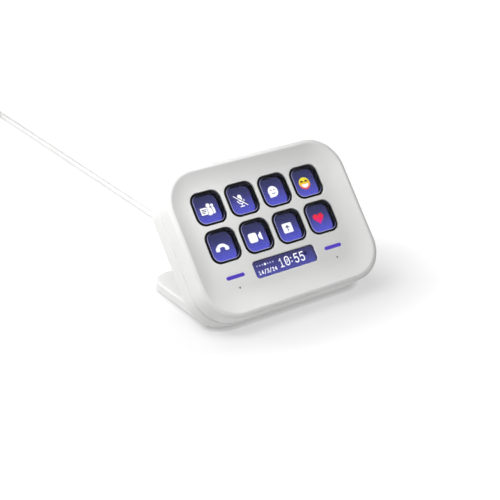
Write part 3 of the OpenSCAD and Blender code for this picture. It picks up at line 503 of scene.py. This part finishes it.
def make_gland():
    """The lead's ribbed relief, with the flange that holds it in the back wall."""
    bm = bmesh.new()
    inner = HEAD_DEPTH - BACK_WALL
    flange_r = GLAND_ROOT_R + GLAND_LIP
    profile = [
        (inner - GLAND_FLANGE, GLAND_BORE_R), (inner - GLAND_FLANGE, flange_r), (inner, flange_r),
        (inner, GLAND_ROOT_R), (HEAD_DEPTH, GLAND_ROOT_R),
    ]
    for rib in range(RIB_COUNT):
        for along, cut in RIB_PROFILE:
            along += RIB_START + RIB_PITCH * rib
            taper = (GLAND_ROOT_R - GLAND_TIP_R) * along / GLAND_L
            profile.append((HEAD_DEPTH + along, GLAND_ROOT_R - taper - cut))
    end = HEAD_DEPTH + GLAND_L
    profile += [(end - 0.3, GLAND_TIP_R), (end, GLAND_TIP_R - 0.25), (end, GLAND_BORE_R)]
    rings = [
        add_ring(bm, [face(x, y, -depth) for x, y in circle_loop(r, 0, -GLAND_DROP, 32)])
        for depth, r in profile
    ]
    join_rings(bm, rings)
    bm.faces.new(rings[0])
    bm.faces.new(reversed(rings[-1]))
    gland = finish_mesh("gland_moulding", bm, [JACKET], "housing", ["cord_gland"])


make_lead()
make_gland()


# ---------- the head ----------


def head_loop(inset, corner_rate=1.0):
    """The head's outline on the face, moved in by an inset."""
    return rounded_loop(
        HEAD_W - 2 * inset, HEAD_H - 2 * inset, HEAD_R - corner_rate * inset, 0, -GRID_RISE
    )


def dish_rise(inset):
    """Height of the dish at an inset from the head's outline."""
    part = (RIM_W + DISH_RUN - inset) / DISH_RUN
    return RIM_RISE * max(0.0, min(1.0, part)) ** 2


def face_rise(x, y):
    """Height of the dish at a place on the face, from the inset of its level line there."""
    low, high = RIM_W, RIM_W + DISH_RUN + 1
    for _ in range(30):
        inset = (low + high) / 2
        r = HEAD_R - DISH_CORNER * inset
        qx = abs(x) - (HEAD_W / 2 - inset - r)
        qy = abs(y + GRID_RISE) - (HEAD_H / 2 - inset - r)
        outside = math.hypot(max(qx, 0), max(qy, 0)) + min(max(qx, qy), 0) - r
        if outside > 0:
            high = inset
        else:
            low = inset
    return dish_rise(low)


def opening(w, h, r, x, y, *counts):
    """A maker of the loop of an opening in the face, for any growth."""
    return lambda growth: rounded_loop(w + 2 * growth, h + 2 * growth, r + growth, x, y, *counts)


def openings():
    """Every opening in the face, with its edge's rounding."""
    makers = [
        (opening(KEY_OPEN_W, KEY_OPEN_H, KEY_OPEN_R, *key_place(i), 10, 4, 4), KEY_EDGE) for i in KEYS
    ]
    makers.append((opening(INFO_W, INFO_H, INFO_R, 0, -INFO_DROP, 8, 8, 3), INFO_EDGE))
    for side in (-1, 1):
        makers.append((
            opening(TOUCH_L, TOUCH_H, TOUCH_H / 2 - 0.01, side * TOUCH_X, -INFO_DROP, 8, 6, 1),
            TOUCH_EDGE,
        ))
    return makers


FRAME_BACK = (           # the frame's rounded back edge: inset, and height above its back
    (1.9, 0), (0.95, 0), (0.6, 0.08), (0.32, 0.28), (0.13, 0.6), (0.03, 1.0), (0, 1.5),
)
FRAME_SIDE = (-3.5, -2, -0.5, 1.5)   # heights of the rings up its side
DISH_STEPS = 26
FLAT_RINGS, FLAT_STEP = 4, 3.6 / 4.3   # extra points that carry the dish on between the openings
WALL_LIP = (0.02, 0.7)   # the opening's inner lip: how far behind the wall, and how wide


def make_front():
    bm = bmesh.new()
    profile = [(inset, n - FRAME_DEPTH) for inset, n in FRAME_BACK] + [(0, n) for n in FRAME_SIDE]
    rings = [add_ring(bm, [face(x, y, n) for x, y in head_loop(inset)]) for inset, n in profile]
    profile = [(RIM_W * inset, RIM_RISE - RIM_EDGE * drop) for inset, drop in quarter_round(8)]
    for k in range(1, DISH_STEPS + 1):
        inset = RIM_W + (DISH_END - RIM_W) * k / DISH_STEPS
        profile.append((inset, dish_rise(inset)))
    for inset, n in profile:
        rings.append(add_ring(bm, [face(x, y, n) for x, y in head_loop(inset, DISH_CORNER)]))
    join_rings(bm, rings)

    outer = head_loop(DISH_END, DISH_CORNER)
    makers = openings()
    holes = [maker(edge) for maker, edge in makers]
    dimples = [
        circle_loop(DIMPLE_R + DIMPLE_EDGE, side * TOUCH_X, -DIMPLE_DROP, 20) for side in (-1, 1)
    ]
    extra = []
    for k in range(1, FLAT_RINGS + 1):
        loop = head_loop(DISH_END + FLAT_STEP * k, DISH_CORNER)
        extra += [p for p in loop if not any(inside(p, hole) for hole in holes + dimples)]
    points, triangles = fill_flat([outer] + holes + dimples, extra)
    verts = list(rings[-1])
    verts += [bm.verts.new(face(x, y, face_rise(x, y))) for x, y in points[len(outer):]]
    for t in triangles:
        bm.faces.new([verts[k] for k in t])

    start = len(outer)
    for (maker, edge), hole in zip(makers, holes):
        walls = [verts[start:start + len(hole)]]
        start += len(hole)
        for drop, growth in quarter_round(4)[1:]:
            loop = maker(edge * growth)
            walls.append(add_ring(bm, [face(x, y, face_rise(x, y) - edge * drop) for x, y in loop]))
        for depth, growth in ((FACE_WALL, 0), (FACE_WALL + WALL_LIP[0], WALL_LIP[1])):
            walls.append(add_ring(bm, [face(x, y, -depth) for x, y in maker(growth)]))
        join_rings(bm, walls, flip=True)
    for hole, side in zip(dimples, (-1, 1)):
        walls = [verts[start:start + len(hole)]]
        start += len(hole)
        for r, n in ((DIMPLE_R + 0.02, -0.07), (DIMPLE_R, -0.24), (DIMPLE_R * 0.6, -DIMPLE_DEPTH)):
            loop = circle_loop(r, side * TOUCH_X, -DIMPLE_DROP, 20)
            walls.append(add_ring(bm, [face(x, y, n) for x, y in loop]))
        join_rings(bm, walls[:2], flip=True)
        # painted shade: the dimple's lower walls and floor take the darker grey
        join_rings(bm, walls[1:], flip=True, material=1)
        bm.faces.new(reversed(walls[-1])).material_index = 1
    front = finish_mesh("front_moulding", bm, [SHELL, PAINTED_DIMPLE_SHADE], "housing", ["front_frame"], recalc=False)


def trim_under(bm):
    """Cuts the head off level above the desk and closes the cut."""
    cut = bmesh.ops.bisect_plane(
        bm, geom=bm.verts[:] + bm.edges[:] + bm.faces[:], dist=1e-6,
        plane_co=(0, 0, PAD_T * MM), plane_no=(0, 0, 1), clear_inner=True,
    )
    rim = [e for e in cut["geom_cut"] if isinstance(e, bmesh.types.BMEdge)]
    bmesh.ops.edgeloop_fill(bm, edges=rim)


REAR_TOP = (             # the rear housing's front edge behind the gap: inset, and how far back
    (0.8, 0), (0.4, 0.06), (0.17, 0.2), (0.04, 0.42), (0, 0.7),
)
REAR_LAND = (6, 0.8)     # insets of the land that meets the frame
REAR_CLEAR = 0.01
REAR_SIDE = (-9.5, -12, -HEAD_DEPTH + BACK_EDGE + 0.6)   # heights of the rings down its side
SCREW_EDGE = 0.15


def make_rear():
    bm = bmesh.new()
    top = -FRAME_DEPTH - REAR_CLEAR
    profile = [(inset, top) for inset in REAR_LAND]
    profile += [(inset, top - GROOVE - back) for inset, back in REAR_TOP] + [(0, n) for n in REAR_SIDE]
    profile += [
        (BACK_EDGE * inset, -HEAD_DEPTH + BACK_EDGE * drop) for inset, drop in quarter_round(10)
    ]
    rings = [add_ring(bm, [face(x, y, n) for x, y in head_loop(inset)]) for inset, n in profile]
    join_rings(bm, rings, flip=True)
    bm.faces.new(rings[0])

    outer = head_loop(BACK_EDGE)
    face_top = HEAD_H / 2 - GRID_RISE
    places = [
        (side * (HEAD_W / 2 - SCREW_INSET), y) for side in (-1, 1)
        for y in (face_top - SCREW_INSET, -SCREW_DROP)
    ]
    holes = [circle_loop(SCREW_HOLE_R + SCREW_EDGE, x, y) for x, y in places]
    points, triangles = fill_flat([outer] + holes)
    verts = list(rings[-1])
    verts += [bm.verts.new(face(x, y, -HEAD_DEPTH)) for x, y in points[len(outer):]]
    for t in triangles:
        bm.faces.new([verts[k] for k in reversed(t)])
    start = len(outer)
    for (x, y), hole in zip(places, holes):
        walls = [verts[start:start + len(hole)]]
        start += len(hole)
        for r, depth in (
            (SCREW_HOLE_R, HEAD_DEPTH - SCREW_EDGE), (SCREW_HOLE_R, SCREW_SEAT),
            (SCREW_SHANK_R, SCREW_SEAT),
        ):
            walls.append(add_ring(bm, [face(px, py, -depth) for px, py in circle_loop(r, x, y)]))
        join_rings(bm, walls)
        bm.faces.new(walls[-1])
    trim_under(bm)
    rear = finish_mesh("rear_moulding", bm, [SHELL], "housing", ["rear_housing"])


make_front()
make_rear()


# ---------- keys ----------

PLUG_GAP = 0.1           # between the cap's underside and its frame's flange
CAP_SIDE, CAP_BORDER = 0.3, 0.85     # black border round a key's clear top, wider at its sides
PAINTED_GLINT_WIDTH, PAINTED_GLINT_SHIFT = 0.18, 0.17   # a painted highlight: a glowing line in the top's edge, shifted so that it shows at the left and lower sides


def make_cap(i):
    """A key's clear cap, its black border and a painted highlight, a glowing line along its edge."""
    bm = bmesh.new()
    x, y = key_place(i)
    w, h, r = KEY_OPEN_W - 2 * KEY_GAP, KEY_OPEN_H - 2 * KEY_GAP, KEY_OPEN_R - KEY_GAP
    under = -KEY_RECESS - CAP_PLATE
    plug = WINDOW_BORDER + CAP_FIT
    profile = [(plug, -FLANGE_BACK + PLUG_GAP), (plug, under), (0, under)]
    profile += [(CAP_EDGE * inset, -KEY_RECESS - CAP_EDGE * drop) for inset, drop in quarter_round(5)]
    rings = [
        add_ring(bm, [
            face(px, py, n)
            for px, py in rounded_loop(w - 2 * inset, h - 2 * inset, r - inset, x, y, 10, 4, 4)
        ])
        for inset, n in profile
    ]
    for inner, shift in ((CAP_BORDER, 0), (CAP_BORDER + PAINTED_GLINT_WIDTH, PAINTED_GLINT_SHIFT)):
        loop = rounded_loop(
            w - 2 * (inner + CAP_SIDE), h - 2 * inner, r - inner, x + shift, y + shift, 10, 4, 4
        )
        rings.append(add_ring(bm, [face(px, py, -KEY_RECESS) for px, py in loop]))
    join_rings(bm, rings[:-1], material=1)
    # painted highlight: a glowing ring, wide at the left and lower sides and thin at the others
    join_rings(bm, rings[-2:], material=2)
    bm.faces.new(rings[-1])
    bm.faces.new(reversed(rings[0]))
    cap = finish_mesh(
        f"clear_cap_{i}", bm, [CLEAR, GLOSS_BLACK, PAINTED_EDGE_GLINT], f"key_{i}", [f"key_cap_{i}"], sharp=50
    )


# ---------- the screens' pictures ----------

SCREEN_STOPS = (
    (0.08, (88, 90, 208)), (0.3, (80, 82, 178)), (0.64, (62, 61, 120)), (0.9, (50, 52, 92)),
)
INFO_STOPS = ((0.1, (82, 82, 166)), (0.9, (58, 56, 104)))
INFO_FIT, INFO_BORDER = 0.05, 0.35   # insets of the information screen and of its lit part
DAYS, TODAY = 7, 3       # the row of dots on the information screen
DAY_X, DAY_Y, DAY_PITCH = -15.9, 1.85, 1.6
TILE_W, TILE_H, TILE_R = 14.6, 14.5, 3.4
TILE_SHIFT, PICTURE_SHIFT = 0.2, 0.7   # a lit field and its picture sit this far right of their key
LIT_GAP = 0.02           # a picture's first layer lies this much in front of its display
LAYER = 0.004            # each layer of a picture lies this much in front of the last
LINE = 0.5               # width of a picture's lines
FACE_R = 3.35
HEART_SIZE, HEART_RISE, HEART_REACH = 0.205, 0.35, 3.1


def arc(x, y, r, start, end, steps=14):
    """Points along part of a circle, between two angles in degrees."""
    turns = [math.radians(start + (end - start) * k / steps) for k in range(steps + 1)]
    return [(x + r * math.cos(a), y + r * math.sin(a)) for a in turns]


def stroke(points, width=LINE, cap_steps=6):
    """The outline of a line of that width with round ends and mitred corners."""
    half = width / 2
    left, right = [], []
    directions = []
    for (x1, y1), (x2, y2) in zip(points, points[1:]):
        length = math.hypot(x2 - x1, y2 - y1)
        directions.append(((x2 - x1) / length, (y2 - y1) / length))
    for k, (x, y) in enumerate(points):
        a = directions[max(k - 1, 0)]
        b = directions[min(k, len(directions) - 1)]
        nx, ny = -(a[1] + b[1]) / 2, (a[0] + b[0]) / 2
        scale = half / max(nx * nx + ny * ny, 0.3)
        left.append((x + nx * scale, y + ny * scale))
        right.append((x - nx * scale, y - ny * scale))
    first = math.degrees(math.atan2(directions[0][1], directions[0][0]))
    last = math.degrees(math.atan2(directions[-1][1], directions[-1][0]))
    end_cap = arc(*points[-1], half, last + 90, last - 90, cap_steps)[1:-1]
    start_cap = arc(*points[0], half, first - 90, first - 270, cap_steps)[1:-1]
    return left + end_cap + right[::-1] + start_cap


def disc(x, y, r, sides=32):
    return circle_loop(r, x, y, sides)


def box(w, h, r, x=0.0, y=0.0):
    return rounded_loop(w, h, r, x, y, 6, 1, 1)


def people():
    """A card and two people."""
    return [
        (WHITE, [disc(3.35, 1.75, 0.82)]), (WHITE, [box(2.3, 3.6, 1.0, 3.1, -0.85)]),
        (DARK, [box(3.9, 4.4, 1.5, 1.0, -0.9)]), (DARK, [disc(1.1, 2.05, 1.4)]),
        (WHITE, [disc(1.1, 2.05, 1.12)]), (WHITE, [box(3.4, 4.1, 1.5, 1.0, -1.05)]),
        (DARK, [box(4.4, 4.2, 0.6, -2.0, -0.5)]), (WHITE, [box(3.9, 3.7, 0.4, -2.0, -0.5)]),
        (DARK, [stroke([(-3.1, 0.25), (-0.9, 0.25)], 0.42)]),
        (DARK, [stroke([(-3.1, -0.55), (-0.9, -0.55)], 0.42)]),
        (DARK, [stroke([(-3.1, -1.35), (-1.7, -1.35)], 0.42)]),
    ]


def muted_microphone():
    return [
        (WHITE, [stroke([(0, 0.6), (0, 2.15)], 2.3, 10)]),
        (WHITE, [stroke(arc(0, 0.5, 2.0, 190, 350, 16))]),
        (WHITE, [stroke([(0, -1.5), (0, -2.9)])]), (WHITE, [stroke([(-1.1, -3.0), (1.1, -3.0)])]),
        (DARK, [stroke([(-2.7, 3.2), (3.5, -2.5)], 0.5)]),
        (WHITE, [stroke([(-3.2, 3.0), (3.1, -2.9)])]),
    ]


def speech_bubble():
    return [
        (WHITE, [[(-2.9, 0.2), (-2.55, -2.6), (-2.3, -2.85), (0.6, -2.5)]]),
        (WHITE, [disc(0, 0.25, 2.95, 40)]),
        (DARK, [stroke(arc(-0.85, 0.75, 0.42, 30, 150, 6), 0.32)]),
        (DARK, [stroke(arc(0.95, 0.75, 0.42, 30, 150, 6), 0.32)]),
        (DARK, [stroke(arc(0.05, 0.35, 1.25, 225, 315, 8), 0.34)]),
    ]


def grinning_face(i):
    x, y = key_place(i)
    warm = (
        (0.0, (228, 60, 112)), (0.28, (250, 136, 64)), (0.5, (255, 206, 40)), (0.7, (255, 234, 60)),
    )
    skin = glow("picture_face", warm, along=(y - FACE_R, y + FACE_R))
    mouth = arc(0, -0.2, 2.15, 184, 356, 18)
    return [
        (skin, [disc(0, 0, FACE_R, 44)]), (BROWN, [stroke(arc(-1.35, 0.7, 0.66, 20, 160, 8), 0.75)]),
        (BROWN, [stroke(arc(1.35, 0.7, 0.66, 20, 160, 8), 0.75)]), (WHITE, [mouth]),
    ]


def handset():
    return [
        (WHITE, [stroke(arc(0, -2.2, 3.1, 150, 30, 16), 1.7)]),
        (WHITE, [box(2.3, 2.0, 0.55, -2.6, -1.0)]), (WHITE, [box(2.3, 2.0, 0.55, 2.6, -1.0)]),
    ]


def video_camera():
    horn = [
        (1.95, 0.75), (3.5, 2.1), (3.8, 2.1), (3.95, 1.9),
        (3.95, -1.9), (3.8, -2.1), (3.5, -2.1), (1.95, -0.75),
    ]
    return [(WHITE, [box(5.0, 5.0, 1.2, -1.35, 0)]), (WHITE, [horn])]


def share_box():
    return [
        (WHITE, [box(5.8, 5.2, 0.7, 0, 0)]), (DARK, [stroke([(0, -1.4), (0, 1.0)])]),
        (DARK, [stroke([(-0.95, 0.25), (0, 1.2), (0.95, 0.25)])]),
    ]


def heart(i):
    x, y = key_place(i)
    reds = ((0.05, (228, 24, 172)), (0.4, (244, 30, 112)), (0.75, (240, 44, 60)))
    red = glow("picture_heart", reds, along=(y - HEART_REACH, y + HEART_REACH))
    loop = []
    for k in range(48):
        a = 2 * math.pi * k / 48
        loop.append((
            HEART_SIZE * 16 * math.sin(a) ** 3,
            HEART_SIZE * (
                13 * math.cos(a) - 5 * math.cos(2 * a) - 2 * math.cos(3 * a) - math.cos(4 * a)
            ) + HEART_RISE,
        ))
    return [(red, [loop])]


PICTURES = {
    1: people(), 2: muted_microphone(), 3: speech_bubble(), 4: grinning_face(4),
    5: handset(), 6: video_camera(), 7: share_box(), 8: heart(8),
}

# The lines of each figure, in a box one wide and one high about its middle
FIGURES = {
    "1": [[(-0.36, 0.26), (0.02, 0.5), (0.02, -0.5)], [(-0.36, -0.5), (0.4, -0.5)]],
    "2": [[
        (-0.44, 0.26), (-0.3, 0.45), (0, 0.5), (0.3, 0.43), (0.44, 0.22), (0.3, -0.02),
        (-0.44, -0.5), (0.48, -0.5),
    ]],
    "3": [[
        (-0.42, 0.5), (0.42, 0.5), (0.0, 0.1), (0.3, 0.02), (0.46, -0.2), (0.32, -0.42),
        (0, -0.5), (-0.3, -0.45), (-0.46, -0.32),
    ]],
    "4": [[(0.24, -0.5), (0.24, 0.5)], [(0.24, 0.5), (-0.46, -0.2), (0.5, -0.2)]],
    "5": [[
        (0.42, 0.5), (-0.38, 0.5), (-0.42, 0.04), (-0.1, 0.13), (0.2, 0.11), (0.42, -0.05),
        (0.46, -0.2), (0.34, -0.42), (0.02, -0.5), (-0.25, -0.47), (-0.46, -0.36),
    ]],
    "/": [[(-0.42, -0.62), (0.42, 0.62)]],
}


def figures(text, x, y, w, h, pitch, width):
    """The layers of plain figures, from a left edge."""
    layers = []
    for figure in text:
        if figure == ":":
            for side in (-1, 1):
                layers.append((WHITE, [disc(x + 0.1 * w, y + side * 0.22 * h, width * 0.62, 16)]))
            x += 0.6 * pitch
            continue
        if figure == "0":
            middle = x + w / 2
            layers.append((WHITE, [
                box(w + grow, h + grow, 0.5 * w + grow / 2 - 0.02, middle, y)
                for grow in (width, -width)
            ]))
            slash = [(x + 0.36 * w, y - 0.2 * h), (x + 0.64 * w, y + 0.2 * h)]
            layers.append((WHITE, [stroke(slash, width * 0.7)]))
        for line in FIGURES.get(figure, []):
            points = [(x + w / 2 + px * w, y + py * h) for px, py in line]
            layers.append((WHITE, [stroke(points, width)]))
        x += pitch
    return layers


def lit_picture(name, layers, depth, x=0.0, y=0.0):
    """Thin lit shapes on the face's frame, each a hair in front of the one before."""
    bm = bmesh.new()
    materials = []
    for step, (material, loops) in enumerate(layers):
        if material not in materials:
            materials.append(material)
        points, triangles = fill_flat(loops)
        n = step * LAYER - depth
        verts = [bm.verts.new(face(x + px, y + py, n)) for px, py in points]
        for t in triangles:
            bm.faces.new([verts[k] for k in t]).material_index = materials.index(material)
    piece = finish_mesh(name, bm, materials, "housing", weighted=False, recalc=False)
    return piece


def make_screens():
    for i in KEYS:
        x, y = key_place(i)
        tile = glow(f"screen_{i}", SCREEN_STOPS, along=(y - TILE_H / 2, y + TILE_H / 2))
        field = rounded_loop(TILE_W, TILE_H, TILE_R, TILE_SHIFT - PICTURE_SHIFT, 0, 8, 2, 2)
        layers = [(tile, [field])] + PICTURES[i]
        lit_picture(f"screen_{i}_picture", layers, LCD_DEPTH - LIT_GAP, x + PICTURE_SHIFT, y)
    info = glow("info_screen", INFO_STOPS, along=(-INFO_DROP - INFO_H / 2, -INFO_DROP + INFO_H / 2))
    layers = [
        (material, [rounded_loop(INFO_W - 2 * edge, INFO_H - 2 * edge, INFO_R, 0, 0, 8, 4, 2)])
        for material, edge in ((GLASS, INFO_FIT), (info, INFO_BORDER))
    ]
    layers += figures("10:55", x=-3.0, y=0.15, w=2.3, h=4.4, pitch=3.6, width=0.6)
    layers += figures("14/3/24", x=-16.2, y=-1.75, w=1.05, h=1.8, pitch=1.62, width=0.36)
    for k in range(DAYS):
        today = k == TODAY
        place = (DAY_X + DAY_PITCH * k, DAY_Y)
        layers.append((WHITE if today else DIM, [disc(*place, 0.62 if today else 0.42, 18)]))
    layers.append((DARK, [disc(13.6, 1.2, 0.85, 24)]))
    lit_picture("info_picture", layers, INFO_DEPTH - LIT_GAP, 0, -INFO_DROP)


for number in KEYS:
    make_cap(number)
make_screens()


# ---------- stage and light ----------


def seen_ray(tree):
    """One for the rays that show the background: to the camera, and off or through a piece."""
    path = tree.nodes.new("ShaderNodeLightPath")
    out = path.outputs["Is Camera Ray"]
    for kind in ("Is Glossy Ray", "Is Transmission Ray"):
        most = tree.nodes.new("ShaderNodeMath")
        most.operation = "MAXIMUM"
        tree.links.new(out, most.inputs[0])
        tree.links.new(path.outputs[kind], most.inputs[1])
        out = most.outputs["Value"]
    return out


def make_floor():
    """White ground for the camera, with a painted soft oval shadow and a painted thin contact shade.
    """
    bm = bmesh.new()
    bmesh.ops.create_grid(bm, x_segments=FLOOR_CELLS, y_segments=FLOOR_CELLS, size=FLOOR_SIZE)
    mesh = bpy.data.meshes.new("floor")
    bm.to_mesh(mesh)
    bm.free()
    m = Nodes("floor")
    m.link(m.between(m.noise(3), *FLOOR_TONES), m.shader.inputs["Base Color"])
    m.set(Roughness=0.9, Specular_IOR_Level=0.0, Emission_Color=(1, 1, 1, 1))
    # painted shadow: the floor's glow is weaker in an oval round the object
    oval = m.add("ShaderNodeVectorMath", operation="MULTIPLY_ADD")
    oval.inputs[1].default_value = FLOOR_OVAL
    oval.inputs[2].default_value = FLOOR_SHIFT
    m.link(m.place, oval.inputs[0])
    reach = m.add("ShaderNodeVectorMath", operation="LENGTH")
    m.link(oval.outputs["Vector"], reach.inputs[0])
    lift = m.add("ShaderNodeMapRange", interpolation_type="SMOOTHSTEP")
    for socket, value in zip(("From Min", "From Max", "To Min", "To Max"), FLOOR_LIFT):
        lift.inputs[socket].default_value = value
    m.link(reach.outputs["Value"], lift.inputs["Value"])
    # painted contact shade: ambient occlusion dims the floor's glow next to the object
    near = m.add("ShaderNodeAmbientOcclusion", samples=12)
    near.inputs["Distance"].default_value = CONTACT_REACH
    shaded = m.add("ShaderNodeMath", operation="MULTIPLY")
    m.link(lift.outputs["Result"], shaded.inputs[0])
    m.link(m.number(near.outputs["AO"], CONTACT_SHADE, 1.0), shaded.inputs[1])
    strength = m.number(seen_ray(m.tree), FLOOR_BOUNCE, 1.0)
    m.link(shaded.outputs["Value"], strength.node.inputs["To Max"])
    m.link(strength, m.shader.inputs["Emission Strength"])
    mesh.materials.append(m.material)
    floor = bpy.data.objects.new("floor", mesh)
    bpy.context.collection.objects.link(floor)


def make_world(strength):
    """White for the rays that show the background, and dimmer as a light."""
    world = bpy.data.worlds.new("studio")
    bpy.context.scene.world = world
    world.use_nodes = True
    tree = world.node_tree
    background = tree.nodes["Background"]
    background.inputs["Color"].default_value = (1, 1, 1, 1)
    blend = tree.nodes.new("ShaderNodeMapRange")
    blend.inputs["To Min"].default_value = strength
    blend.inputs["To Max"].default_value = 1.0
    tree.links.new(seen_ray(tree), blend.inputs["Value"])
    tree.links.new(blend.outputs["Result"], background.inputs["Strength"])


def make_lamp(name, place, aim, size, power):
    data = bpy.data.lights.new(name, "AREA")
    data.shape = "DISK"
    data.size = size
    data.energy = power
    lamp = bpy.data.objects.new(name, data)
    lamp.visible_camera = False
    lamp.location = place
    lamp.rotation_euler = (Vector(aim) - Vector(place)).to_track_quat("-Z", "Y").to_euler()
    bpy.context.collection.objects.link(lamp)


FLOOR_SIZE, FLOOR_CELLS = 6.0, 12     # half its width in metres, and its cells each way
FLOOR_TONES = ((160, 160, 160), (163, 163, 163))
FLOOR_OVAL, FLOOR_SHIFT = (0.742, 1.368, 1.0), (0.004, 0.044, 0)   # the painted shadow's shape and place
FLOOR_LIFT = (0.034, 0.114, 0.525, 0.916)   # the camera's glow, from and to these reaches, between these strengths: dimmer near the object as painted shadow
FLOOR_BOUNCE = 0.41       # the floor's strength for the rays that light the object
CONTACT_REACH = 0.0028    # painted contact shade: the floor darkens this near to the object
CONTACT_SHADE = 0.42
WORLD_LIGHT = 0.175
LAMPS = (                 # name, place, aim, size and power
    ("near_lamp", (-0.135, -0.035, 0.245), (-0.02, 0, 0.04), 0.18, 0.44),
    ("front_lamp", (-0.035, -0.137, 0.292), (-0.01, 0, 0.05), 0.12, 0.15),
    ("left_lamp", (-0.62, 0.62, 0.3), (0, 0, 0.04), 0.4, 3.0),
    ("rear_lamp", (-0.15, 0.6, 0.9), (0, 0.12, 0), 0.5, 1.2),
    ("lead_lamp", (-0.12, 0.26, 0.4), (0, 0.2, 0), 0.3, 0.27),
)
make_floor()
make_world(WORLD_LIGHT)
for lamp in LAMPS:
    make_lamp(*lamp)
bpy.context.scene.view_settings.view_transform = "Standard"
